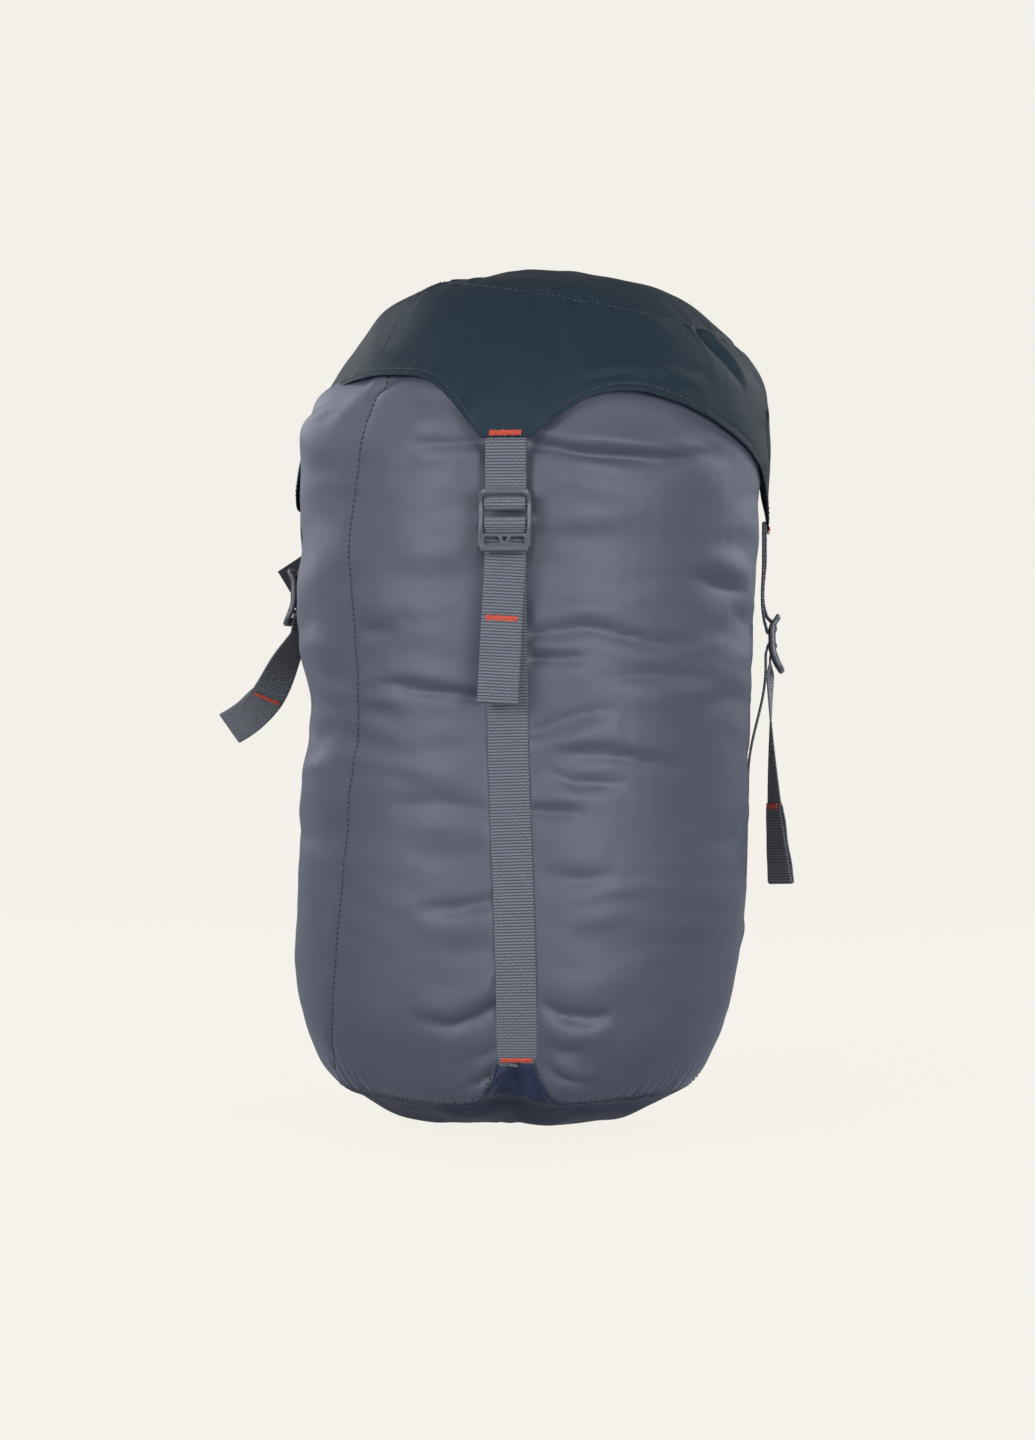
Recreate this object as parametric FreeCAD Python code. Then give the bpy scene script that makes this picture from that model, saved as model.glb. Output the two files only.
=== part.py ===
"""Compression stuff sack: a stuffed round sack, its strapped lid, four webbing straps with ladder-lock buckles.

Row frame, millimetres: +Z up the sack's axis, origin at the centre of the flat that the sack stands on.
The front strap is on the -Y side and the right strap on the +X side.
Cloth is drawn thicker than real cloth, so that every shell is a sound solid.
"""
import FreeCAD
import Part

import math
import os

from FreeCAD import Placement, Rotation, Vector

# ---- cloth ----
CLOTH = 1.2                     # drawn thickness of the pack cloth
CLEAR = 0.6                     # gap kept between layers that slide on each other
SEAM_Z = 31.0                   # height of the seam between base and wall
REST_RADIUS = 48.0              # flat that the sack stands on
MOUTH_RADIUS = 20.0             # where the wall cloth ends at the gathered mouth

# Outline of the base, the wall and the lid as (radius, height), from the bottom up.
BASE_OUTLINE = [(REST_RADIUS, 0.0), (62.0, 3.0), (80.0, 11.5), (94.0, 22.0), (103.6, 32.2)]
WALL_OUTLINE = [
    (102.4, 30.0), (110.5, 47.0), (116.5, 70.0), (119.2, 105.0), (119.6, 180.0),
    (120.0, 250.0), (121.0, 315.0), (121.0, 350.0), (119.0, 371.0), (113.0, 385.5),
    (104.0, 396.5), (88.0, 408.5), (66.0, 419.0), (40.0, 426.0), (MOUTH_RADIUS, 429.0),
]
LID_WALL_OUTLINE = [
    (125.6, 300.0), (126.6, 330.0), (126.7, 350.0), (125.5, 366.0), (121.5, 381.5),
    (115.0, 396.5), (105.6, 411.0), (95.4, 424.5), (86.4, 434.8),
]
LID_SEAM = (87.0, 434.0)
LID_TOP_OUTLINE = [(88.0, 433.0), (75.0, 443.2), (57.0, 450.0), (30.0, 454.6), (0.0, 456.0)]
LID_SHIFT = Vector(3.0, 0, 0)   # the lid sits a little towards the right strap

# ---- webbing ----
WEB_WIDTH = 20.0
WEB = 1.2                       # webbing thickness
STRAP_FOOT = 47.0               # height where the straps are sewn to the base seam
TAIL_END_LENGTH = 44.0          # folded and bar-tacked end of each strap
LID_TIP_WIDTH = 28.0
BARTACK_WIDTH = 15.0
BARTACK_HEIGHT = 2.2
BARTACK = 0.5                   # thickness of a bar tack's thread

# One row per strap: angle round the sack, height of the buckle axis, height of the lid's point, distance of the
# buckle axis from the sack's axis, single-layer length of the tail, and the angles that shape its hanging end:
# lean to one side, outward heading at its start and end, side that it heads to, and twist at its start and end.
STRAPS = {
    "front": {
        "angle": 0.0, "axis_z": 321.5, "tip_z": 354.5, "axis_r": 128.5, "run": 27.0,
        "lean": 3.0, "heading": (0.0, 0.0), "side": 0.0, "twist": (0.0, 0.0),
    },
    "right": {
        "angle": 90.0, "axis_z": 265.0, "tip_z": 316.0, "axis_r": 132.0, "run": 66.0,
        "lean": 0.0, "heading": (0.0, 6.0), "side": 0.0, "twist": (12.0, -38.0),
    },
    "back": {
        "angle": 180.0, "axis_z": 300.0, "tip_z": 335.0, "axis_r": 128.5, "run": 38.0,
        "lean": -4.0, "heading": (0.0, 0.0), "side": 0.0, "twist": (0.0, 0.0),
    },
    "left": {
        "angle": 262.0, "axis_z": 291.5, "tip_z": 330.0, "axis_r": 126.1, "run": 47.0,
        "lean": 0.0, "heading": (30.0, 75.0), "side": -37.0, "twist": (0.0, 25.0),
    },
}
ARCH_TOP = {"front": 379.0, "right": 376.0, "back": 380.0, "left": 389.0}   # lid edge after each strap
STRAP_ORDER = ["front", "right", "back", "left"]

# ---- ladder-lock buckle, in its own frame: x along the bars, r outwards, z up, origin on the upper bar ----
BUCKLE_WIDTH = 28.0
BUCKLE_TOP = 8.0
BUCKLE_BOTTOM = -23.5
WINDOW_WIDTH = WEB_WIDTH + 1.6
WINDOW_TOP = 3.9
WINDOW_BOTTOM = -14.3
UPPER_BAR_RADIUS = 1.5
LOWER_BAR_Z = -9.0
LOWER_BAR_RADIUS = 1.2
REAR_LAY = -2.9                 # where the loaded strap lies behind the buckle
TAIL_LAY = -0.5                 # where the tail lies behind the buckle's lip
TAIL_PIVOT_Z = -25.0
TAIL_GAP = 0.9                  # between the pivot and the first millimetre of the tail

# ---- mouth, cord and cord lock ----
CHANNEL_INNER = 10.0
CHANNEL_OUTER = 19.0
CHANNEL_LOW = 429.4
CHANNEL_HEIGHT = 9.0
CORD = 2.6
CORD_Z = CHANNEL_LOW + CHANNEL_HEIGHT / 2
CORD_SPREAD = 1.9               # half the distance between the two cord ends
CORD_REACH = 74.0
LOCK_Y = -46.0
LOCK_RADIUS = 7.0
LOCK_START = -13.6              # closed end of the barrel, along X
LOCK_LENGTH = 19.2
LOCK_WALL = 1.4
PLUNGER_TRAVEL = 4.0
STEM_START = -5.4               # inner end of the plunger, before it is pressed
SPRING_WIRE = 0.7
SPRING_RADIUS = 2.6
SPRING_TURNS = 3.4

# ---- hang tag ----
TAG_WIDTH = 40.0
TAG_HEIGHT = 66.0
TAG = 0.8                       # card thickness
TAG_ANGLE = 210.0               # the upright plane it hangs in touches the sack here
TAG_RADIUS = 124.0
TAG_TILT = 33.0
TAG_CORNER_ALONG = 96.0
TAG_CORNER_Z = 301.0
TAG_HOLE_RADIUS = 2.0
TAG_HOLE_DOWN = 7.0
TAG_STRING = 1.2

OUT = "parts"


def save(name, shape):
    """Writes one sub-part as a STEP file."""
    shape.exportStep(os.path.join(OUT, name + ".step"))


def curve_through(points):
    curve = Part.BSplineCurve()
    curve.interpolate([Vector(r, 0, z) for r, z in points])
    return curve


def offset_points(curve, distance, count):
    """Points beside a curve in the XZ plane; a positive distance is on its right-hand side, going along it."""
    first = curve.FirstParameter
    last = curve.LastParameter
    points = []
    for i in range(count):
        u = first + (last - first) * i / (count - 1)
        tangent = curve.tangent(u)[0]
        side = Vector(tangent.z, 0, -tangent.x)
        points.append(curve.value(u) + side * distance)
    return points


def band_face(curve, low, high, count=24):
    """The strip of the XZ plane between two offsets of one curve."""
    edges = []
    ends = []
    for distance in (low, high):
        side = Part.BSplineCurve()
        points = offset_points(curve, distance, count)
        side.interpolate(points)
        edges.append(side.toShape())
        ends.append(points)
    edges.append(Part.makeLine(ends[0][0], ends[1][0]))
    edges.append(Part.makeLine(ends[0][-1], ends[1][-1]))
    return Part.Face(Part.Wire(Part.__sortEdges__(edges)))


def turned(face):
    return face.revolve(Vector(0, 0, 0), Vector(0, 0, 1), 360)


def above(shape, height):
    """What is left of a shape above a height."""
    return shape.common(Part.makeBox(600, 600, 600, Vector(-300, -300, height)))


def below(shape, height):
    return shape.common(Part.makeBox(600, 600, 600, Vector(-300, -300, height - 600)))


def at_strap(shape, angle):
    """Turns a shape built for the front strap to the place of another strap."""
    return shape.rotated(Vector(0, 0, 0), Vector(0, 0, 1), angle)


# ---- the sack ----
def base_panel():
    skirt = turned(band_face(curve_through(BASE_OUTLINE), -CLOTH, 0))
    pad = Part.makeCylinder(REST_RADIUS + 0.5, CLOTH)
    ring = above(below(skirt, SEAM_Z), 0)
    return ring.fuse(pad).removeSplitter()


def wall_panel():
    shell = turned(band_face(curve_through(WALL_OUTLINE), -CLOTH, 0, 40))
    return above(shell, SEAM_Z + 0.05)


def base_seam_binding():
    """Tape sewn round the inside of the base seam."""
    low = 34.0
    high = 44.0
    inner = curve_through([(r, z) for r, z in WALL_OUTLINE if z < 110])
    tape = turned(band_face(inner, -CLOTH - 1.1, -CLOTH - 0.1))
    return below(above(tape, low), high)


def side_seam_binding():
    """Tape over the raw edges of the wall's one upright seam, on the inside."""
    inner = curve_through([(r, z) for r, z in WALL_OUTLINE if z < 360])
    strip = band_face(inner, -CLOTH - 1.4, -CLOTH - 0.4, 30).extrude(Vector(0, 8, 0))
    strip.translate(Vector(0, -4, 0))
    strip = below(above(strip, 50), 345)
    return strip.rotated(Vector(0, 0, 0), Vector(0, 0, 1), 225)


def cord_channel():
    """Hem round the mouth that the drawcord runs in, with the slot that the cord comes out of."""
    outer = Part.makeCylinder(CHANNEL_OUTER, CHANNEL_HEIGHT, Vector(0, 0, CHANNEL_LOW))
    hole = Part.makeCylinder(CHANNEL_INNER, CHANNEL_HEIGHT, Vector(0, 0, CHANNEL_LOW))
    tunnel_height = CHANNEL_HEIGHT - 2 * CLOTH
    tunnel = Part.makeCylinder(CHANNEL_OUTER - CLOTH, tunnel_height, Vector(0, 0, CHANNEL_LOW + CLOTH))
    core = Part.makeCylinder(CHANNEL_INNER + CLOTH, tunnel_height, Vector(0, 0, CHANNEL_LOW + CLOTH))
    slot_width = 2 * CORD_SPREAD + CORD + 2
    slot = Part.makeBox(slot_width, 10, CORD + 1.4)
    slot.translate(Vector(-slot_width / 2, -CHANNEL_OUTER - 4, CORD_Z - CORD / 2 - 0.7))
    return outer.cut(hole).cut(tunnel.cut(core)).cut(slot)


def drawcord():
    """Cord round the mouth, its two ends side by side through the lock, and the knot that joins them."""
    loop_radius = (CHANNEL_INNER + CHANNEL_OUTER) / 2
    loop = Part.makeTorus(loop_radius, CORD / 2, Vector(0, 0, CORD_Z))
    gap = Part.makeBox(2 * CORD_SPREAD, 40, 10, Vector(-CORD_SPREAD, -40, CORD_Z - 5))
    cord = loop.cut(gap)
    start = -math.sqrt(loop_radius**2 - CORD_SPREAD**2)
    for side in (-CORD_SPREAD, CORD_SPREAD):
        run = Part.makeCylinder(CORD / 2, CORD_REACH + start, Vector(side, start, CORD_Z), Vector(0, -1, 0))
        cord = cord.fuse(run)
    knot = Part.makeSphere(3.6, Vector(0, -CORD_REACH - 2, CORD_Z))
    return cord.fuse(knot)


# ---- cord lock: the plunger slides along X in the barrel, the cord passes along Y ----
def cord_slot(length, centre_x):
    """Opening for both cord ends, longer along X than the cord so that the plunger can travel."""
    height = CORD + 1.0
    slot = Part.makeBox(length, 40, height)
    slot.translate(Vector(centre_x - length / 2, LOCK_Y - 20, CORD_Z - height / 2))
    return slot


def cord_lock_barrel():
    start = Vector(LOCK_START, LOCK_Y, CORD_Z)
    barrel = Part.makeCylinder(LOCK_RADIUS, LOCK_LENGTH, start, Vector(1, 0, 0))
    bore_start = start + Vector(LOCK_WALL, 0, 0)
    bore = Part.makeCylinder(LOCK_RADIUS - LOCK_WALL, LOCK_LENGTH, bore_start, Vector(1, 0, 0))
    rib_ring = Part.makeTorus(LOCK_RADIUS, 0.6, start + Vector(1.2, 0, 0), Vector(1, 0, 0))
    body = barrel.fuse(rib_ring).cut(bore)
    return body.cut(cord_slot(2 * CORD_SPREAD + CORD + 1.2, 0))


def cord_lock_plunger():
    """Button and stem; its slot is long enough for the cord at both ends of the travel."""
    stem_radius = LOCK_RADIUS - LOCK_WALL - 0.15
    stem_start = Vector(STEM_START, LOCK_Y, CORD_Z)
    stem_end = LOCK_START + LOCK_LENGTH + PLUNGER_TRAVEL
    stem = Part.makeCylinder(stem_radius, stem_end - STEM_START, stem_start, Vector(1, 0, 0))
    rim = 1.2
    crown_start = Vector(stem_end, LOCK_Y, CORD_Z)
    crown = Part.makeCone(stem_radius, stem_radius - rim, rim, crown_start, Vector(1, 0, 0))
    slot = cord_slot(2 * CORD_SPREAD + CORD + 1.2 + PLUNGER_TRAVEL, PLUNGER_TRAVEL / 2)
    return stem.fuse(crown).cut(slot)


def cord_lock_spring():
    """Coil between the barrel's floor and the stem, at its resting length."""
    floor_x = LOCK_START + LOCK_WALL
    length = STEM_START - floor_x
    helix = Part.makeHelix(length / SPRING_TURNS, length - SPRING_WIRE - 0.2, SPRING_RADIUS)
    profile = Part.Wire(Part.Circle(Vector(SPRING_RADIUS, 0, 0), Vector(0, 1, 0), SPRING_WIRE / 2).toShape())
    coil = Part.Wire(helix).makePipeShell([profile], True, True)
    place = Placement(Vector(floor_x + SPRING_WIRE / 2 + 0.1, LOCK_Y, CORD_Z), Rotation(Vector(0, 1, 0), 90))
    coil.Placement = place
    return coil


# ---- the lid ----
def lid_top():
    shell = turned(band_face(curve_through(LID_TOP_OUTLINE[:-1] + [(2.0, 455.99)]), -CLOTH, 0))
    core = Part.makeCylinder(2.4, CLOTH, Vector(0, 0, 456.0 - CLOTH))
    return above(shell.fuse(core), LID_SEAM[1] + 0.05).translated(LID_SHIFT)


def arch_cutter(name, following):
    """What is cut away below the lid's curved edge between two straps."""
    first = STRAPS[name]
    second = STRAPS[following]
    span = (second["angle"] - first["angle"]) % 360
    middle = first["angle"] + span / 2
    reach = 126.0 * math.sin(math.radians(span / 2)) - LID_TIP_WIDTH / 2 * math.cos(math.radians(span / 2))
    floor = 250.0
    left_foot = Vector(-reach, 0, floor)
    left_tip = Vector(-reach, 0, first["tip_z"])
    top = Vector((second["tip_z"] - first["tip_z"]) * -0.25, 0, ARCH_TOP[name])
    right_tip = Vector(reach, 0, second["tip_z"])
    right_foot = Vector(reach, 0, floor)
    edges = [
        Part.makeLine(left_foot, left_tip),
        Part.Arc(left_tip, top, right_tip).toShape(),
        Part.makeLine(right_tip, right_foot),
        Part.makeLine(right_foot, left_foot),
    ]
    cutter = Part.Face(Part.Wire(edges)).extrude(Vector(0, -200, 0))
    return at_strap(cutter, middle)


def tip_cutter(strap):
    """What is cut away below one point of the lid."""
    box = Part.makeBox(LID_TIP_WIDTH + 6, 120, strap["tip_z"] - 250)
    box.translate(Vector(-LID_TIP_WIDTH / 2 - 3, -180, 250))
    return at_strap(box, strap["angle"])


def lid_wall():
    wall = turned(band_face(curve_through(LID_WALL_OUTLINE), -CLOTH, 0, 30))
    wall = below(wall, LID_SEAM[1]).translated(LID_SHIFT)
    for i, name in enumerate(STRAP_ORDER):
        following = STRAP_ORDER[(i + 1) % len(STRAP_ORDER)]
        wall = wall.cut(arch_cutter(name, following))
        wall = wall.cut(tip_cutter(STRAPS[name]))
    return wall


def lid_seam_binding():
    """Tape over the raw edges where the lid's top meets its wall, on the inside."""
    inner = curve_through([(r, z) for r, z in LID_WALL_OUTLINE if z > 400])
    tape = turned(band_face(inner, -CLOTH - 1.1, -CLOTH - 0.1))
    return below(above(tape, 424), 432).translated(LID_SHIFT)


# ---- straps, drawn for the front strap and then turned ----
def flat_band(path, thickness, width):
    """Webbing that follows a path in the (r, z) plane. The path is a list of points on its middle line."""
    face = band_face(curve_through(path), -thickness / 2, thickness / 2, 4 * len(path))
    solid = face.extrude(Vector(0, width, 0))
    solid.translate(Vector(0, -width / 2, 0))
    return solid.rotated(Vector(0, 0, 0), Vector(0, 0, 1), -90)


def to_buckle(shape, strap):
    """Moves a shape from the buckle's own frame to its place on the front strap's line."""
    return shape.translated(Vector(0, -strap["axis_r"], strap["axis_z"]))


def long_strap(strap):
    """The loaded length of webbing, from the base seam to just behind the buckle."""
    outline = curve_through([(r, z) for r, z in WALL_OUTLINE if z < 372])
    face = band_face(outline, CLEAR, CLEAR + WEB, 40)
    solid = face.extrude(Vector(0, WEB_WIDTH, 0))
    solid.translate(Vector(0, -WEB_WIDTH / 2, 0))
    solid = solid.rotated(Vector(0, 0, 0), Vector(0, 0, 1), -90)
    return below(above(solid, STRAP_FOOT), strap["axis_z"] + WINDOW_BOTTOM)


def round_bar(centre_r, centre_z, radius, angles):
    """Points on the middle line of webbing that turns round a bar."""
    points = []
    for angle in angles:
        a = math.radians(angle)
        points.append((centre_r + radius * math.cos(a), centre_z + radius * math.sin(a)))
    return points


def buckle_tab(strap):
    """Short webbing loop that holds the buckle's upper bar and is sewn under the lid's point."""
    leaf_front = -3.0
    leaf_rear = -4.2
    turn = round_bar(0, 0, UPPER_BAR_RADIUS + 0.35 + WEB / 2, (37, 2, -34, -70, -106, -140, -167))
    path = [(leaf_front, BUCKLE_TOP), (-0.5, 4.75)] + turn + [(-3.3, 3.7), (leaf_rear, BUCKLE_TOP)]
    loop = flat_band(path, WEB, WEB_WIDTH)
    height = strap["tip_z"] + 6 - strap["axis_z"] - BUCKLE_TOP
    thickness = leaf_front - leaf_rear + WEB
    leaves = Part.makeBox(WEB_WIDTH, thickness, height + 0.3)
    leaves.translate(Vector(-WEB_WIDTH / 2, -leaf_front - WEB / 2, BUCKLE_TOP - 0.3))
    return to_buckle(loop.fuse(leaves), strap)


def rounded_outline(width, low, high, corner):
    """Rectangle with round corners in the XZ plane, as a face."""
    half = width / 2
    corners = [
        (half - corner, low + corner, -45), (half - corner, high - corner, 45),
        (-half + corner, high - corner, 135), (-half + corner, low + corner, 225),
    ]
    edges = []
    previous = None
    first = None
    for x, z, middle in corners:
        points = []
        for turn in (-45, 0, 45):
            a = math.radians(middle + turn)
            points.append(Vector(x + corner * math.cos(a), 0, z + corner * math.sin(a)))
        if previous is not None:
            edges.append(Part.makeLine(previous, points[0]))
        else:
            first = points[0]
        edges.append(Part.Arc(*points).toShape())
        previous = points[2]
    edges.append(Part.makeLine(previous, first))
    return Part.Face(Part.Wire(edges))


def buckle():
    """Ladder lock: a frame, two bars for the webbing and a lip that is lifted to let the strap slip."""
    side = [
        (5.2, BUCKLE_TOP - 0.6), (4.4, BUCKLE_TOP), (3.2, BUCKLE_TOP), (2.6, BUCKLE_TOP - 0.8),
        (2.6, 3.4), (-1.2, 1.8), (-1.8, 0.6), (-1.8, -11.0), (-1.2, -12.4),
        (0.9, -13.9), (1.2, -18.0), (3.0, -22.0), (4.6, BUCKLE_BOTTOM), (6.8, BUCKLE_BOTTOM),
        (7.6, -22.4), (6.0, -19.0), (3.9, -16.4), (3.6, -13.0), (2.6, -9.0), (2.6, 0.0), (5.4, 4.4),
    ]
    profile = [Vector(0, -r, z) for r, z in side]
    slab = Part.Face(Part.makePolygon(profile + [profile[0]])).extrude(Vector(BUCKLE_WIDTH, 0, 0))
    slab.translate(Vector(-BUCKLE_WIDTH / 2, 0, 0))
    front = rounded_outline(BUCKLE_WIDTH, BUCKLE_BOTTOM, BUCKLE_TOP, 5.0).extrude(Vector(0, 20, 0))
    front.translate(Vector(0, -10, 0))
    frame = slab.common(front)
    window = rounded_outline(WINDOW_WIDTH, WINDOW_BOTTOM, WINDOW_TOP, 1.2).extrude(Vector(0, 20, 0))
    window.translate(Vector(0, -10, 0))
    frame = frame.cut(window)
    bar_length = WINDOW_WIDTH + 2
    bars = [(0.0, 0.0, UPPER_BAR_RADIUS), (0.3, LOWER_BAR_Z, LOWER_BAR_RADIUS)]
    for r, z, radius in bars:
        bar = Part.makeCylinder(radius, bar_length, Vector(-bar_length / 2, -r, z), Vector(1, 0, 0))
        frame = frame.fuse(bar)
    for mirror in (-1, 1):
        slot = rounded_outline(7.0, -1.1, 1.1, 1.0).extrude(Vector(0, 20, 0))
        slot.rotate(Vector(0, 0, 0), Vector(0, 1, 0), 10 * mirror)
        slot.translate(Vector(mirror * 5.6, -10, -17.6))
        frame = frame.cut(slot)
    return frame


def buckle_bight():
    """The strap's turn through the buckle: up behind it, over the lower bar and down behind the lip."""
    bar_r = 0.3
    turn = round_bar(bar_r, LOWER_BAR_Z, LOWER_BAR_RADIUS + 0.3 + WEB / 2, (165, 125, 90, 55, 15, -25))
    rear = [(REAR_LAY, -22.0), (REAR_LAY, -14.0)]
    front = [(-0.35, -13.6), (TAIL_LAY, -16.5), (TAIL_LAY, -24.6)]
    return flat_band(rear + turn + front, WEB, WEB_WIDTH)


# ---- the hanging ends ----
def web_sweep(stations, width, thickness):
    """Webbing through stations in space: each is a point, the direction along the webbing and the one across."""
    sections = []
    for point, along, across in stations:
        a = across * (width / 2)
        b = along.cross(across) * (thickness / 2)
        corners = [point + a + b, point - a + b, point - a - b, point + a - b]
        sections.append(Part.makePolygon(corners + [corners[0]]))
    return Part.makeLoft(sections, True, True)


def tail_station(strap, distance, lift=0.0):
    """Where the tail is at a distance along it from its pivot, in the buckle's frame: point, along, across."""
    length = strap["run"] + TAIL_END_LENGTH + TAIL_GAP
    start, end = (math.radians(a) for a in strap["heading"])
    share = distance / length
    heading = start + (end - start) * share
    side = math.radians(strap["side"])
    outward = Vector(math.sin(side), -math.cos(side), 0)
    if abs(end - start) > 1e-6:
        radius = length / (end - start)
        away = radius * (math.cos(start) - math.cos(heading))
        down = radius * (math.sin(heading) - math.sin(start))
    else:
        away = distance * math.sin(start)
        down = distance * math.cos(start)
    along = outward * math.sin(heading) - Vector(0, 0, math.cos(heading))
    bend_axis = outward.cross(Vector(0, 0, 1))
    twist = strap["twist"][0] + (strap["twist"][1] - strap["twist"][0]) * share
    across = Rotation(bend_axis, -math.degrees(heading)).multVec(Vector(1, 0, 0))
    across = Rotation(along, twist).multVec(across)
    across = across - along * across.dot(along)
    across.normalize()
    point = outward * away - Vector(0, 0, down) + along.cross(across) * lift
    lean = Rotation(Vector(0, 1, 0), strap["lean"])
    pivot = Vector(0, -TAIL_LAY, TAIL_PIVOT_Z)
    return pivot + lean.multVec(point), lean.multVec(along), lean.multVec(across)


def tail_piece(strap, start, end, width, thickness, lift, count=7):
    stations = []
    for i in range(count):
        stations.append(tail_station(strap, start + (end - start) * i / (count - 1), lift))
    return to_buckle(web_sweep(stations, width, thickness), strap)


def tail(strap):
    """Single layer of webbing between the buckle and the folded end."""
    return tail_piece(strap, TAIL_GAP, TAIL_GAP + strap["run"] - 0.2, WEB_WIDTH, WEB, 0)


def tail_end(strap):
    """The end of the strap, folded back on itself and sewn, too thick to slip out of the buckle."""
    start = TAIL_GAP + strap["run"]
    return tail_piece(strap, start, start + TAIL_END_LENGTH, WEB_WIDTH, 2 * WEB + 0.2, 0)


def tail_bartack(strap):
    start = TAIL_GAP + strap["run"] + 1.5
    side = front_side(strap)
    return tail_piece(strap, start, start + BARTACK_HEIGHT, BARTACK_WIDTH, BARTACK, side * (WEB + 0.4), 2)


def front_side(strap):
    """Plus or minus one: which way along x across points outwards at the start of the tail."""
    _, along, across = tail_station(strap, 0.0)
    return 1 if along.cross(across).y < 0 else -1


def lid_radius(angle):
    """Distance from the sack's axis to the outside of the lid, near its points."""
    a = math.radians(angle)
    return 126.7 + LID_SHIFT.x * math.sin(a)


def lid_bartacks():
    """Bar tacks through the lid's points and the buckle tabs."""
    tacks = []
    for strap in STRAPS.values():
        tack = Part.makeBox(BARTACK_WIDTH, BARTACK, BARTACK_HEIGHT)
        radius = lid_radius(strap["angle"]) + BARTACK + 0.1
        tack.translate(Vector(-BARTACK_WIDTH / 2, -radius, strap["tip_z"] + 1.0))
        tacks.append(at_strap(tack, strap["angle"]))
    return Part.makeCompound(tacks)


def base_bartacks():
    """Bar tacks through the feet of the straps and the base seam."""
    outline = curve_through([(r, z) for r, z in WALL_OUTLINE if z < 110])
    inner = CLEAR + WEB + 0.05
    face = band_face(outline, inner, inner + BARTACK, 40)
    tack = face.extrude(Vector(0, BARTACK_WIDTH, 0))
    tack.translate(Vector(0, -BARTACK_WIDTH / 2, 0))
    tack = tack.rotated(Vector(0, 0, 0), Vector(0, 0, 1), -90)
    tack = below(above(tack, STRAP_FOOT + 1.0), STRAP_FOOT + 1.0 + BARTACK_HEIGHT)
    return Part.makeCompound([at_strap(tack, strap["angle"]) for strap in STRAPS.values()])


# ---- the hang tag, in the upright plane that touches the sack's back left ----
def tag_place(along, height, out=0.0):
    """A point of the tag's plane: distance along it towards the left strap, height, and distance out of it."""
    a = math.radians(TAG_ANGLE)
    side = Vector(math.cos(a), math.sin(a), 0)
    outward = Vector(math.sin(a), -math.cos(a), 0)
    return outward * (TAG_RADIUS + out) + side * along + Vector(0, 0, height)


def tag_point(across, down, out=0.0):
    """A point of the card, measured from its outer corner along its top edge and down its side."""
    a = math.radians(TAG_TILT)
    along = TAG_CORNER_ALONG - across * math.cos(a) - down * math.sin(a)
    height = TAG_CORNER_Z + across * math.sin(a) - down * math.cos(a)
    return tag_place(along, height, out)


def hang_tag():
    top = [tag_point(0, 0), tag_point(TAG_WIDTH, 0)]
    corners = top + [tag_point(TAG_WIDTH, TAG_HEIGHT), tag_point(0, TAG_HEIGHT)]
    outward = tag_place(0, 0, 1) - tag_place(0, 0, 0)
    card = Part.Face(Part.makePolygon(corners + [corners[0]])).extrude(outward * TAG)
    hole = Part.makeCylinder(TAG_HOLE_RADIUS, 6, tag_point(TAG_WIDTH / 2, TAG_HOLE_DOWN, -3), outward)
    return card.cut(hole)


def tag_string():
    """Thin cord from the left buckle tab, down through the tag's hole and back up."""
    left = STRAPS["left"]
    a = math.radians(left["angle"])
    outward = Vector(math.sin(a), -math.cos(a), 0)
    backward = Vector(-math.cos(a), -math.sin(a), 0)
    knot = outward * (left["axis_r"] - 1.2) + backward * (WEB_WIDTH / 2 - 3) + Vector(0, 0, left["axis_z"] + 16)
    edge = outward * (left["axis_r"] + 0.4) + backward * (WEB_WIDTH / 2 + 4) + Vector(0, 0, left["axis_z"] + 17)
    out_side = tag_point(TAG_WIDTH / 2, TAG_HOLE_DOWN - 5, TAG + 2.0)
    through = tag_point(TAG_WIDTH / 2, TAG_HOLE_DOWN, TAG / 2)
    in_side = tag_point(TAG_WIDTH / 2, TAG_HOLE_DOWN - 5, -1.6)
    curve = Part.BSplineCurve()
    curve.interpolate([knot, edge, (edge + out_side) / 2 + Vector(0, 0, -3), out_side, through, in_side])
    spine = Part.Wire(curve.toShape())
    start = Part.Circle(knot, edge - knot, TAG_STRING / 2).toShape()
    return spine.makePipeShell([Part.Wire(start)], True, True)


def main():
    os.makedirs(OUT, exist_ok=True)
    save("base_panel", base_panel())
    save("wall_panel", wall_panel())
    save("base_seam_binding", base_seam_binding())
    save("side_seam_binding", side_seam_binding())
    save("cord_channel", cord_channel())
    save("drawcord", drawcord())
    save("cord_lock_barrel", cord_lock_barrel())
    save("cord_lock_plunger", cord_lock_plunger())
    save("cord_lock_spring", cord_lock_spring())
    save("lid_top", lid_top())
    save("lid_wall", lid_wall())
    save("lid_seam_binding", lid_seam_binding())
    for name, strap in STRAPS.items():
        save(name + "_strap", at_strap(long_strap(strap), strap["angle"]))
        save(name + "_tab", at_strap(buckle_tab(strap), strap["angle"]))
        save(name + "_buckle", at_strap(to_buckle(buckle(), strap), strap["angle"]))
        save(name + "_strap_bight", at_strap(to_buckle(buckle_bight(), strap), strap["angle"]))
        save(name + "_tail", at_strap(tail(strap), strap["angle"]))
        save(name + "_tail_end", at_strap(tail_end(strap), strap["angle"]))
        save(name + "_tail_bartack", at_strap(tail_bartack(strap), strap["angle"]))
    save("lid_bartacks", lid_bartacks())
    save("base_bartacks", base_bartacks())
    save("hang_tag", hang_tag())
    save("tag_string", tag_string())


main()
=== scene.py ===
"""Looks of the compression stuff sack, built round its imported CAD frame. Lengths are in millimetres until a mesh is made.

Angles go round the sack: 0 is the front strap (-Y), 90 the right strap (+X), 180 the back strap.
"""
import math

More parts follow.
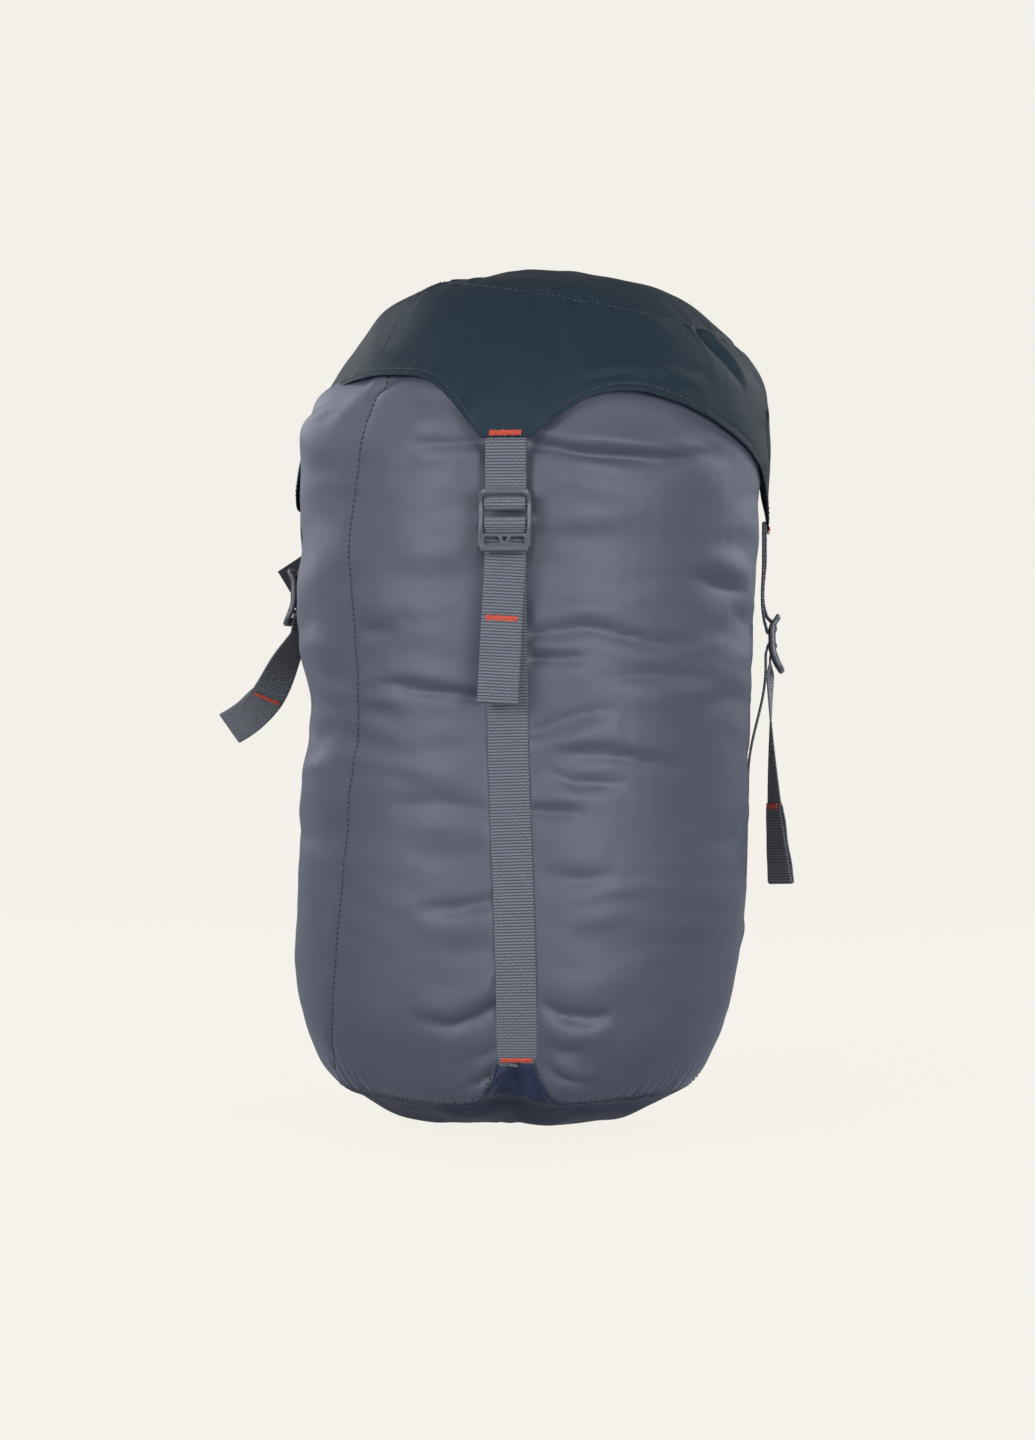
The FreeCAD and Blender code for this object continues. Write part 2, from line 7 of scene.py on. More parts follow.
import bpy
import numpy as np
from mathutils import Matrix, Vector


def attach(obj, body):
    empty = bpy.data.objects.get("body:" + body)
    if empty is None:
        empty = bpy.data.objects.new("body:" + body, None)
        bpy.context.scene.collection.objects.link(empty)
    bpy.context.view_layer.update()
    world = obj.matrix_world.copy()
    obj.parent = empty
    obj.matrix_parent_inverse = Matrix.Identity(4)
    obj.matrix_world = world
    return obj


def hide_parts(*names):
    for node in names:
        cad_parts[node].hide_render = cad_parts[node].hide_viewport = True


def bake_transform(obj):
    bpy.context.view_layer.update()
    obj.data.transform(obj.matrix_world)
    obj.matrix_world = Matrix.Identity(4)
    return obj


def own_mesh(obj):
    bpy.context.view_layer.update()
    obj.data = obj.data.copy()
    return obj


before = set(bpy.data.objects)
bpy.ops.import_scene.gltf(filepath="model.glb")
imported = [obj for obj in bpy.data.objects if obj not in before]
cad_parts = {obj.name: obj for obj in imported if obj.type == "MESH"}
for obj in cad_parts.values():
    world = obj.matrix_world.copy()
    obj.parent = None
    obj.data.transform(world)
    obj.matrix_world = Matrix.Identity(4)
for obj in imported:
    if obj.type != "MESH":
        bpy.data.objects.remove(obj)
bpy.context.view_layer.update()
MM = 0.001
rng = np.random.default_rng(7)

# ---------------------------------------------------------------- shapes as tables and curves


def smooth(x, table, period=None):
    """Cubic curve through a table of (x, y) pairs, evaluated at x."""
    xs, ys = (np.array(c, float) for c in zip(*table))
    if period:
        xs = np.concatenate([xs[-2:] - period, xs, xs[:2] + period])
        ys = np.concatenate([ys[-2:], ys, ys[:2]])
        x = (np.asarray(x, float) - table[0][0]) % period + table[0][0]
    x = np.clip(x, xs[0], xs[-1])
    step = np.diff(xs)
    slope = np.diff(ys) / step
    tangent = np.empty_like(ys)
    tangent[0] = slope[0]
    tangent[-1] = slope[-1]
    same = slope[:-1] * slope[1:] > 0
    mean = np.where(same, 2 * slope[:-1] * slope[1:] / np.where(same, slope[:-1] + slope[1:], 1), 0)
    tangent[1:-1] = mean
    i = np.clip(np.searchsorted(xs, x, side="right") - 1, 0, len(xs) - 2)
    h = step[i]
    t = (x - xs[i]) / h
    return (
        ys[i] * (2 * t**3 - 3 * t**2 + 1)
        + h * tangent[i] * (t**3 - 2 * t**2 + t)
        + ys[i + 1] * (3 * t**2 - 2 * t**3)
        + h * tangent[i + 1] * (t**3 - t**2)
    )


def step01(x, low, high):
    """0 below low, 1 above high, smooth between; low may be above high."""
    t = np.clip((x - low) / (high - low), 0, 1)
    return t * t * (3 - 2 * t)


def around(theta, centre):
    """Signed angle from centre to theta, in -180 to 180."""
    return (np.asarray(theta, float) - centre + 180) % 360 - 180


class Outline:
    """A profile of (r, z) points, walked by its length in millimetres."""

    def __init__(self, points):
        points = np.array(points, float)
        length = np.concatenate([[0], np.cumsum(np.hypot(*np.diff(points, axis=0).T))])
        fine = np.linspace(0, length[-1], 1500)
        r = self._curve(length, points[:, 0], fine)
        z = self._curve(length, points[:, 1], fine)
        self.s = np.concatenate([[0], np.cumsum(np.hypot(np.diff(r), np.diff(z)))])
        self.r = r
        self.z = z
        self.end = self.s[-1]

    @staticmethod
    def _curve(xs, ys, x):
        n = len(xs)
        tangent = np.gradient(ys, xs)
        i = np.clip(np.searchsorted(xs, x, side="right") - 1, 0, n - 2)
        h = xs[i + 1] - xs[i]
        t = (x - xs[i]) / h
        return (
            ys[i] * (2 * t**3 - 3 * t**2 + 1)
            + h * tangent[i] * (t**3 - 2 * t**2 + t)
            + ys[i + 1] * (3 * t**2 - 2 * t**3)
            + h * tangent[i + 1] * (t**3 - t**2)
        )

    def at(self, s):
        return np.interp(s, self.s, self.r), np.interp(s, self.s, self.z)

    def normal(self, s):
        """Outward unit normal in the profile's plane, for a profile walked with the inside on the left."""
        r0, z0 = self.at(np.clip(s - 0.5, 0, self.end))
        r1, z1 = self.at(np.clip(s + 0.5, 0, self.end))
        dr, dz = r1 - r0, z1 - z0
        n = np.maximum(np.hypot(dr, dz), 1e-9)
        return dz / n, -dr / n

    def s_at_z(self, z):
        """Length at which a profile of steady direction passes a height."""
        if self.z[-1] > self.z[0]:
            return np.interp(z, self.z, self.s)
        return np.interp(-np.asarray(z), -self.z, self.s)


BODY = Outline([
    (0, 0.8), (30, 0.3), (48, 0.6), (62, 3.6), (80, 12), (94, 22.6), (103.6, 33), (108.4, 44), (112.8, 55),
    (117.2, 76), (119.3, 98), (119.7, 130), (119.6, 180), (119.2, 215), (120.6, 245), (121.8, 270), (122.6, 313),
    (122.2, 345), (119.6, 368), (115.2, 382), (108.5, 392), (96, 403), (80, 412.5), (60, 420.5), (38, 426), (21, 428.6),
])
LID = Outline([
    (126.2, 300), (126.6, 330), (126.4, 350), (124.6, 366), (121.4, 380), (117, 391), (111.8, 400), (106, 408.5),
    (100, 417), (93, 425.4), (85.5, 433.6), (75, 440.8), (57, 447.2), (30, 452.6), (0, 454.6),
])
BODY_LEAN = [
    (0, -5.8), (33, -5.1), (55, -4.5), (76, -4), (98, -2.8), (130, -0.4), (174, 0.8), (227, 2.6), (260, 1.7),
    (288, 2.0), (313, 3.5), (335, 4.2), (365, 5.2), (390, 7), (430, 7),
]
LID_LEAN = [
    (300, 3), (330, 3.4), (350, 4.4), (366, 6), (380, 8.4), (391, 11.4), (400, 12.8), (408.5, 12.6), (417, 11.8),
    (425.6, 10.3), (434.4, 9.2), (443, 8.4), (456, 7.8),
]
STRAP_ANGLE = {"front": 0.0, "right": 90.0, "back": 180.0, "left": -98.0}
SEAM_ANGLE = [
    (20, -66), (30, -62), (45, -55), (70, -49), (115, -46), (170, -44), (230, -41), (270, -41.5), (310, -43.6),
    (350, -41), (392, -39), (430, -38),
]

# Per strap: height of the buckle's axis, height of the lid's point, distance of the axis from the sack's axis,
# single-layer length of the tail, then the angles of its hanging end: lean, outward heading at start and end,
# side that it heads to, twist at start and end.
STRAPS = {
    "front": (321.5, 354.5, 128.5, 27.0, 3.0, (0, 0), 0, (0, 0)),
    "right": (265.0, 316.0, 132.0, 66.0, 0.0, (0, 6), 0, (12, -38)),
    "back": (300.0, 335.0, 128.5, 38.0, -4.0, (0, 0), 0, (0, 0)),
    "left": (291.5, 330.0, 126.1, 47.0, 0.0, (30, 75), -37, (0, 25)),
}
LID_LAY = -1.45                 # outside of the lid's points, from the buckle's axis

# Lower edge of the lid: (angle, height), arched between its four points.
LID_EDGE = [
    (-180, 335), (-174, 335), (-170, 344), (-162, 362), (-152, 373), (-139, 378), (-126, 374), (-115, 360), (-109, 344),
    (-105, 331), (-93, 331), (-89.5, 340), (-84, 359), (-76, 376), (-66, 386.5), (-57, 389.5), (-42, 391), (-27, 388.6),
    (-21, 385.6), (-16.4, 380.5), (-13.2, 374.5), (-10, 367), (-6.8, 358.6), (-4.9, 354.2), (4.9, 354.2), (7.2, 357.2),
    (10, 361.4), (13.6, 368), (18.4, 374), (25, 377.6), (30, 378.4), (39.6, 375), (50, 368.6), (58.7, 361.6),
    (69.6, 352.6), (80.6, 338), (85, 320), (95, 317), (99, 330), (106, 350), (118, 366), (135, 374), (150, 371),
    (162, 360), (169, 346), (174, 335), (180, 335),
]
# Height of the seam between base and wall, pulled up at each strap.
FOOT_PULL = 24.5


def base_seam_z(theta):
    z = 21.0 + 4.0 * np.sin(np.radians(2 * np.asarray(theta))) ** 2
    for name, angle in STRAP_ANGLE.items():
        d = np.abs(around(theta, angle + (4.6 if name == "front" else 0)))
        z = z + FOOT_PULL * np.exp(-((np.maximum(0, d - 4.2) / 4.8) ** 1.25))
    return z


def top_seam_z(theta):
    """Height of the seam round the lid's top panel, which sits lower on the right."""
    t = np.radians(np.asarray(theta))
    return 432.5 - 17 * np.sin(t) + 5.5 * np.cos(2 * t) * np.abs(np.sin(t / 2)) ** 2


def noise2(theta, z, scale, seed, octaves=2):
    """Smooth wandering value in about -1 to 1, periodic round the sack."""
    gen = np.random.default_rng(seed)
    total = np.zeros(np.broadcast(theta, z).shape)
    t = np.radians(theta)
    for octave in range(octaves):
        size = scale / 2**octave
        for _ in range(7):
            turns = gen.integers(0, max(2, int(2 * np.pi * 120 / size / 2)) + 1)
            direction = gen.normal()
            rate = 2 * np.pi / size * min(1.0, 0.35 + abs(direction) * 0.5)
            total = total + np.sin(turns * t + rate * z * np.sign(direction) + gen.uniform(0, 6.28)) / 2**octave
    return total / 4.5


# ---------------------------------------------------------------- folds


def fold(theta, z, path, width, depth, bump=0.0, side=1, reach=2.2):
    """One fold in the cloth: a valley along a path of (angle, height), with a roll of cloth on one side of it."""
    radius = 120.0
    pts = np.array([(math.radians(a) * radius, h) for a, h in path])
    x = np.radians(around(theta, 0)) * radius
    y = np.asarray(z, float)
    best = np.full(np.broadcast(x, y).shape, 1e9)
    signed = np.zeros_like(best)
    along = np.zeros_like(best)
    seg = np.hypot(*np.diff(pts, axis=0).T)
    total = seg.sum()
    start = 0.0
    for k in range(len(pts) - 1):
        ax, ay = pts[k]
        dx, dy = (pts[k + 1] - pts[k]) / seg[k]
        t = np.clip((x - ax) * dx + (y - ay) * dy, 0, seg[k])
        px, py = ax + t * dx, ay + t * dy
        dist = np.hypot(x - px, y - py)
        near = dist < best
        best = np.where(near, dist, best)
        signed = np.where(near, (y - py) * dx - (x - px) * dy, signed)
        along = np.where(near, (start + t) / total, along)
        start += seg[k]
    dist = np.where(signed < 0, -best, best) * side
    at_strap = min(abs(float(around(path[0][0], angle))) for angle in STRAP_ANGLE.values()) < 7
    first = 0.36 if at_strap else 0.0
    envelope = np.sin(np.pi * np.clip(along * (1 - first) + first, 0, 1)) ** 0.9
    valley = -depth * np.exp(-((best / width) ** 1.5))
    roll = bump * np.exp(-(((dist - reach * width) / (2.1 * width)) ** 2))
    return (valley + roll) * envelope


# Folds of the wall: path of (angle, height), valley width, valley depth, roll height, side of the roll.
WALL_FOLDS = [
    # below the lid's right arch
    ([(6, 352), (16, 347), (37, 345), (57, 352)], 2.4, 3.4, 2.4, 1),
    ([(12, 357), (30, 353), (50, 358)], 8.0, -1.6, 0.0, 1),
    ([(30, 366), (46, 357), (62, 347)], 5.0, 1.0, 1.2, -1),
    ([(7, 338), (20, 331), (34, 328)], 6.0, 0.8, 0.8, -1),
    # below the lid's left point
    ([(-4, 353), (-13, 351.5), (-24, 352.5)], 2.4, 1.8, 1.2, 1),
    ([(-8, 345), (-20, 338), (-30, 337)], 6.0, 0.8, 0.8, 1),
    # left shoulder: the pucker and the cloth rolled over beside it
    ([(-30, 389), (-36, 385), (-40, 378)], 2.8, 2.4, 1.0, -1),
    ([(-41, 389), (-50, 383), (-66, 377), (-82, 374)], 4.0, 2.2, 2.2, 1),
    ([(-44, 378), (-55, 370), (-68, 366)], 5.0, 1.2, 1.4, 1),
    ([(-26, 380), (-15, 372), (-11, 366)], 5.0, 1.2, 1.2, -1),
    # right of the strap, from the top down
    ([(6, 308), (18, 305), (34, 309)], 6.5, 0.8, 0.6, 1),
    ([(45, 290), (55, 285), (72, 282)], 3.6, 2.2, 2.0, 1),
    ([(60, 273), (70, 268), (82, 270)], 4.2, 1.2, 1.2, 1),
    ([(6, 258), (18.6, 262), (36, 254), (56, 257)], 3.4, 1.9, 1.4, 1),
    ([(6, 247), (13, 246.5), (20, 247)], 2.6, 2.6, 1.2, 1),
    ([(17.4, 237), (36, 238), (56, 237.5)], 3.4, 1.7, 1.5, -1),
    ([(48, 224), (62, 229), (80, 226)], 5.0, 1.2, 1.2, 1),
    ([(6.6, 210), (16.5, 218), (27, 222.5)], 3.2, 2.0, 1.3, -1),
    ([(7.5, 202), (25, 199.5), (45, 192)], 3.0, 1.7, 1.2, 1),
    ([(7.5, 192), (16.5, 185.5), (29, 185)], 3.0, 1.7, 1.0, -1),
    ([(6, 172), (12.5, 171.5), (19, 172)], 2.4, 2.4, 1.2, 1),
    ([(7.5, 140), (18.6, 138), (26, 139)], 4.0, 1.4, 0.9, 1),
    ([(50, 150), (64, 156), (78, 154)], 8.0, 1.0, 0.7, 1),
    ([(8, 116), (20, 112), (34, 115)], 8.0, 0.8, 0.6, 1),
    ([(7.5, 78), (13.3, 71), (20.6, 69), (27, 71)], 3.2, 3.2, 1.8, -1),
    # left of the strap, from the top down
    ([(-6, 322), (-18, 318), (-32, 321)], 7.0, 0.7, 0.6, 1),
    ([(-6, 290), (-20, 286), (-34, 291)], 7.0, 0.8, 0.7, -1),
    ([(-40, 260), (-33, 261), (-26, 262.5)], 3.6, 1.2, 1.0, 1),
    ([(-6, 227.5), (-18, 231), (-29, 234), (-40, 231.5)], 2.6, 2.6, 1.5, -1),
    ([(-40, 221), (-34, 220.5), (-26, 220)], 3.4, 1.2, 1.0, 1),
    ([(-5, 205), (-14, 203), (-24, 206)], 6.0, 0.8, 0.6, 1),
    ([(-5, 172), (-16.5, 175.5), (-31, 174)], 4.0, 1.6, 1.2, 1),
    ([(-5, 152), (-15, 149), (-26, 151)], 7.0, 0.8, 0.7, -1),
    ([(-3, 127.6), (-13, 123.5), (-23, 122.5)], 3.2, 2.2, 1.4, 1),
    ([(-4, 103.5), (-9, 103), (-16, 103)], 5.0, 1.2, 0.8, 1),
    ([(-2.7, 76), (-7, 70.5), (-14, 65.5), (-25, 69.5)], 3.2, 3.4, 1.8, -1),
    ([(-45, 214), (-60, 208), (-80, 212)], 7.0, 1.3, 1.2, 1),
    ([(-46, 262), (-62, 268), (-84, 262)], 7.0, 1.1, 1.2, -1),
    ([(-50, 150), (-66, 158), (-84, 156)], 9.0, 1.0, 0.7, 1),
    # round the base seam
    ([(-0.6, 46), (-4, 41), (-9, 35), (-15, 31)], 1.9, 2.6, 1.6, 1),
    ([(-1, 55), (-6, 50), (-12, 48)], 2.4, 1.5, 1.0, 1),
    ([(9.6, 46), (13, 40), (18, 36), (25, 35)], 2.0, 2.6, 1.8, 1),
    ([(10, 56), (14, 53), (20, 53)], 2.6, 1.2, 0.8, 1),
]


def side_folds():
    """Folds that run out of both sides of the right, back and left straps, and lie more loosely between them."""
    gen = np.random.default_rng(21)
    folds = []
    for name in ("right", "back", "left"):
        for side in (-1, 1):
            z = 62.0
            while z < 352:
                start = STRAP_ANGLE[name] + side * gen.uniform(3.5, 5)
                middle = start + side * gen.uniform(7, 14)
                end = middle + side * gen.uniform(5, 18)
                drop = gen.uniform(-5, 5)
                path = [(start, z), (middle, z + drop), (end, z + drop + gen.uniform(-4, 4))]
                strength = gen.uniform(0.7, 1.9)
                if -92 < middle < -45 or 30 < middle < 84:
                    strength *= 0.3
                folds.append((path, gen.uniform(3.6, 6), strength, strength * 0.9, int(gen.choice([-1, 1]))))
                z += gen.uniform(16, 34)
    for _ in range(16):
        start = gen.uniform(98, 235)
        z = gen.uniform(80, 330)
        length = gen.uniform(14, 30)
        path = [(start, z), (start + length / 2, z + gen.uniform(-6, 6)), (start + length, z + gen.uniform(-8, 8))]
        folds.append((path, gen.uniform(5, 9), 0.9, 1.0, int(gen.choice([-1, 1]))))
    return folds


def body_relief(theta, s, z):
    """How far the cloth stands out of the smooth outline."""
    groove = np.zeros(np.broadcast(theta, z).shape)
    for name, angle in STRAP_ANGLE.items():
        centre = angle + strap_drift(name, z)
        d = around(theta, centre)
        pull = 2.1 + 2.9 * np.exp(-(((z - 52) / 26) ** 2)) + 0.8 * np.exp(-(((z - 345) / 30) ** 2))
        pull = pull * step01(z, 6, 34)
        groove = groove - pull * np.exp(-((np.abs(d) / 8.5) ** 2.2))
        groove = groove + 1.3 * np.exp(-(((np.abs(d) - 17) / 9) ** 2)) * step01(z, 50, 75)
    groove = groove + 1.6 * np.sin(np.radians(2 * np.asarray(theta))) ** 2 * step01(z, 20, 60) * step01(z, 400, 380)
    seam = around(theta, smooth(z, SEAM_ANGLE))
    groove = groove - 0.6 * np.exp(-((seam / 1.7) ** 2)) * step01(z, 24, 40) * step01(z, 396, 388)
    shoulder = np.exp(-((around(theta, -67) / 13) ** 2)) * step01(z, 318, 378) * step01(z, 400, 380)
    groove = groove + 6.2 * shoulder
    waist = np.exp(-(((np.asarray(theta) + 77) / 11) ** 2)) * np.exp(-(((z - 226) / 22) ** 2))
    groove = groove - 3.2 * waist
    return groove


def strap_drift(name, z):
    """Degrees by which a strap's line wanders from its nominal angle: the front one slants at the foot."""
    if name != "front":
        return np.zeros_like(np.asarray(z, float))
    x = 5.0 * step01(z, 245, 55) - smooth(z, BODY_LEAN)
    return np.degrees(x / 121.0) * step01(z, 20, 45)


def place(outline, lean, theta, s, out=0.0):
    """Points of a turned outline, leaning with height, moved out along its normal. Millimetres."""
    theta, s = np.broadcast_arrays(np.asarray(theta, float), np.asarray(s, float))
    r, z = outline.at(s)
    nr, nz = outline.normal(s)
    shift = smooth(z, lean)
    t = np.radians(theta)
    tilt = 0.14 * np.clip(r * np.cos(t), 0, 70) * step01(z, 26, 8)
    r = r + out * nr
    z = z + out * nz + tilt
    return np.stack([r * np.sin(t) + shift, -r * np.cos(t), z], -1)


def seen_angle(outline, lean, theta, s):
    """Direction of a leaning outline's point as seen from the sack's own axis."""
    r, z = outline.at(s)
    t = np.radians(theta)
    return theta + np.degrees(smooth(z, lean) * np.cos(t) / np.maximum(r, 30))


def body_point(theta, s, out=0.0):
    _, z = BODY.at(s)
    return place(BODY, BODY_LEAN, theta, s, body_relief(theta, s, z) + out)


# ---------------------------------------------------------------- meshes


def mesh_from(name, verts, faces, material, uv=None):
    """A smooth-shaded mesh. verts are in millimetres; faces is an array of quads or a list of faces of any size."""
    sizes = np.array([len(face) for face in faces])
    corners = np.concatenate([np.asarray(face) for face in faces]) if isinstance(faces, list) else faces.ravel()
    mesh = bpy.data.meshes.new(name)
    mesh.vertices.add(len(verts))
    mesh.vertices.foreach_set("co", (np.asarray(verts) * MM).astype(np.float32).ravel())
    mesh.loops.add(len(corners))
    mesh.loops.foreach_set("vertex_index", corners.astype(np.int32))
    mesh.polygons.add(len(sizes))
    mesh.polygons.foreach_set("loop_start", (np.cumsum(sizes) - sizes).astype(np.int32))
    mesh.update(calc_edges=True)
    mesh.polygons.foreach_set("use_smooth", np.ones(len(sizes), bool))
    if uv is not None:
        layer = mesh.uv_layers.new(name="cloth")
        layer.data.foreach_set("uv", np.asarray(uv, np.float32)[corners].ravel())
    mesh.update()
    piece = bpy.data.objects.new(name, mesh)
    bpy.context.scene.collection.objects.link(piece)
    if material:
        mesh.materials.append(material)
    return piece


def grid_faces(nu, nv, closed=True):
    """Quads of a grid whose first index goes round and second goes up."""
    i, j = np.meshgrid(np.arange(nu if closed else nu - 1), np.arange(nv - 1), indexing="ij")
    k = (i + 1) % nu
    quads = np.stack([i * nv + j, k * nv + j, k * nv + j + 1, i * nv + j + 1], -1)
    return quads.reshape(-1, 4)


def halve(points, closed):
    """A grid with a new row between every two, on a smooth curve through them."""
    if closed:
        before, after, last = (np.roll(points, k, 0) for k in (1, -1, -2))
        rows = points
    else:
        wide = np.concatenate([2 * points[:1] - points[1:2], points, 2 * points[-1:] - points[-2:-1]])
        before, rows, after, last = wide[:-3], wide[1:-2], wide[2:-1], wide[3:]
    middle = (9 * (rows + after) - before - last) / 16
    fine = np.empty((len(points) + len(middle), *points.shape[1:]))
    fine[0::2] = points
    fine[1::2] = middle
    return fine


def shell(name, points, thickness, material, closed=True, centre=None, fine=True):
    """A sheet of cloth with real thickness, from a grid of points on its outer side.

    centre is "start" or "end" where the grid's rows close up round a middle point.
    """
    if fine:
        points = halve(points, closed)
        points = halve(points.swapaxes(0, 1), False).swapaxes(0, 1)
    nu, nv = points.shape[:2]
    inner = points - grid_normals(points, closed) * thickness
    outside = grid_faces(nu, nv, closed)
    inside = outside[:, ::-1] + nu * nv
    faces = [outside, inside]
    ring = np.arange(nu) * nv
    if closed:
        here, there = ring, np.roll(ring, -1)
    else:
        here, there = ring[:-1], ring[1:]
    caps = []
    for row, name_of_end in ((0, "start"), (nv - 1, "end")):
        turn = 1 if row else -1
        if centre == name_of_end:
            caps.append((ring + row)[::turn])
            caps.append((ring + row + nu * nv)[::-turn])
        else:
            rim = np.stack([here + row, there + row, there + row + nu * nv, here + row + nu * nv], -1)
            faces.append(rim[:, ::turn])
    if not closed:
        column = np.arange(nv)
        for start, turn in ((0, 1), ((nu - 1) * nv, -1)):
            low = start + column[:-1]
            high = start + column[1:]
            faces.append(np.stack([low, high, high + nu * nv, low + nu * nv], -1)[:, ::turn])
    faces = np.concatenate(faces)
    if caps:
        faces = list(faces) + caps
    return mesh_from(name, np.concatenate([points.reshape(-1, 3), inner.reshape(-1, 3)]), faces, material)


def read_points(mesh):
    co = np.empty(len(mesh.vertices) * 3, np.float32)
    mesh.vertices.foreach_get("co", co)
    return co.reshape(-1, 3).astype(float)


def simulate(points, rest, pins, frames, pressure, cap, bending=0.6, tension=12.0):
    """Lets a grid of cloth settle from points towards its own rest lengths, held where pins is 1. Millimetres.

    Every second row and column is simulated; the way it moves is then spread smoothly over the whole grid.
    """
    start = points[::2, ::2]
    rest = rest[::2, ::2]
    pins = pins[::2, ::2]
    nu, nv = start.shape[:2]
    cloth = mesh_from("cloth_at_work", start.reshape(-1, 3), grid_faces(nu, nv), None)
    cloth.shape_key_add(name="Basis")
    key = cloth.shape_key_add(name="rest")
    key.data.foreach_set("co", (rest.reshape(-1, 3) * MM).astype(np.float32).ravel())
    key.value = 0
    group = cloth.vertex_groups.new(name="pins")
    flat = pins.reshape(-1)
    for level in np.unique(np.round(flat, 2)):
        if level > 0:
            group.add(np.nonzero(np.round(flat, 2) == level)[0].tolist(), float(level), "REPLACE")
    modifier = cloth.modifiers.new("cloth", "CLOTH")
    settings = modifier.settings
    settings.quality = 5
    settings.mass = 0.15
    settings.tension_stiffness = tension
    settings.compression_stiffness = tension
    settings.shear_stiffness = 4
    settings.bending_stiffness = bending
    settings.tension_damping = 6
    settings.compression_damping = 6
    settings.air_damping = 2
    settings.effector_weights.gravity = 0
    settings.use_pressure = True
    settings.uniform_pressure_force = pressure
    settings.rest_shape_key = key
    settings.vertex_group_mass = "pins"
    settings.pin_stiffness = 2
    modifier.point_cache.frame_start = 1
    modifier.point_cache.frame_end = frames
    scene = bpy.context.scene
    for number in range(1, frames + 1):
        scene.frame_set(number)
    graph = bpy.context.evaluated_depsgraph_get()
    settled = read_points(cloth.evaluated_get(graph).to_mesh()) / MM
    scene.frame_set(1)
    bpy.data.objects.remove(cloth)
    moved = settled - start.reshape(-1, 3)
    length = np.maximum(np.linalg.norm(moved, axis=1, keepdims=True), 1e-9)
    moved = (moved * np.minimum(1, cap / length)).reshape(start.shape)
    moved = halve(moved, True)
    return points + halve(moved.swapaxes(0, 1), False).swapaxes(0, 1)


def grid_normals(points, closed=True):
    """Outward unit normals of a grid of points."""
    if closed:
        du = np.roll(points, -1, 0) - np.roll(points, 1, 0)
    else:
        du = np.gradient(points, axis=0)
    dv = np.gradient(points, axis=1)
    n = np.cross(du, dv)
    return n / np.maximum(np.linalg.norm(n, axis=2, keepdims=True), 1e-9)


# ---------------------------------------------------------------- materials


class Nodes:
    """Small helper that builds one node material."""

    def __init__(self, name):
        self.material = bpy.data.materials.new(name)
        self.material.use_nodes = True
        self.tree = self.material.node_tree
        self.tree.nodes.clear()
        self.out = self.add("ShaderNodeOutputMaterial")
        self.shader = self.add("ShaderNodeBsdfPrincipled")
        self.link(self.shader, "BSDF", self.out, "Surface")

    def add(self, kind, **settings):
        node = self.tree.nodes.new(kind)
        for key, value in settings.items():
            if hasattr(node, key):
                setattr(node, key, value)
            else:
                node.inputs[key.replace("_", " ")].default_value = value
        return node

    def link(self, a, output, b, entry):
        self.tree.links.new(a.outputs[output], b.inputs[entry])

    def value(self, operation, a, b=None, c=None):
        """A math node; each input is a number or a (node, output) pair."""
        node = self.add("ShaderNodeMath", operation=operation)
        for i, entry in enumerate((a, b, c)):
            if entry is None:
                continue
            if isinstance(entry, tuple):
                self.link(entry[0], entry[1], node, i)
            else:
                node.inputs[i].default_value = entry
        return (node, 0)

    def mix(self, factor, a, b):
        """Colour mix; a and b are colours or (node, output) pairs."""
        node = self.add("ShaderNodeMix", data_type="RGBA")
        for entry, target in ((factor, 0), (a, 6), (b, 7)):
            if isinstance(entry, tuple) and hasattr(entry[0], "outputs"):
                self.link(entry[0], entry[1], node, target)
            elif target == 0:
                node.inputs[0].default_value = entry
            else:
                node.inputs[target].default_value = (*entry, 1)
        return (node, 2)

    def noise(self, scale, detail=2.0, rough=0.5, vector=None):
        node = self.add("ShaderNodeTexNoise", Scale=scale, Detail=detail, Roughness=rough)
        if vector:
            self.link(vector[0], vector[1], node, "Vector")
        return (node, 0)

    def coordinates(self, output="Object"):
        return (self.add("ShaderNodeTexCoord"), output)

    def bump(self, height, strength, distance, before=None):
        node = self.add("ShaderNodeBump", Strength=strength, Distance=distance)
        self.link(height[0], height[1], node, "Height")
        if before:
            self.link(before[0], before[1], node, "Normal")
        return (node, 0)

    def finish(self, colour, roughness, normal=None, **settings):
        for entry, value in (("Base Color", colour), ("Roughness", roughness), ("Normal", normal)):
            if value is None:
                continue
            if isinstance(value, tuple) and hasattr(value[0], "outputs"):
                self.link(value[0], value[1], self.shader, entry)
            elif entry == "Base Color":
                self.shader.inputs[entry].default_value = (*value, 1)
            else:
                self.shader.inputs[entry].default_value = value
        for key, value in settings.items():
            self.shader.inputs[key.replace("_", " ")].default_value = value
        return self.material


def srgb(r, g, b):
    """Linear colour of an 8-bit screen colour."""
    def one(c):
        c /= 255
        return c / 12.92 if c <= 0.04045 else ((c + 0.055) / 1.055) ** 2.4
    return (one(r), one(g), one(b))


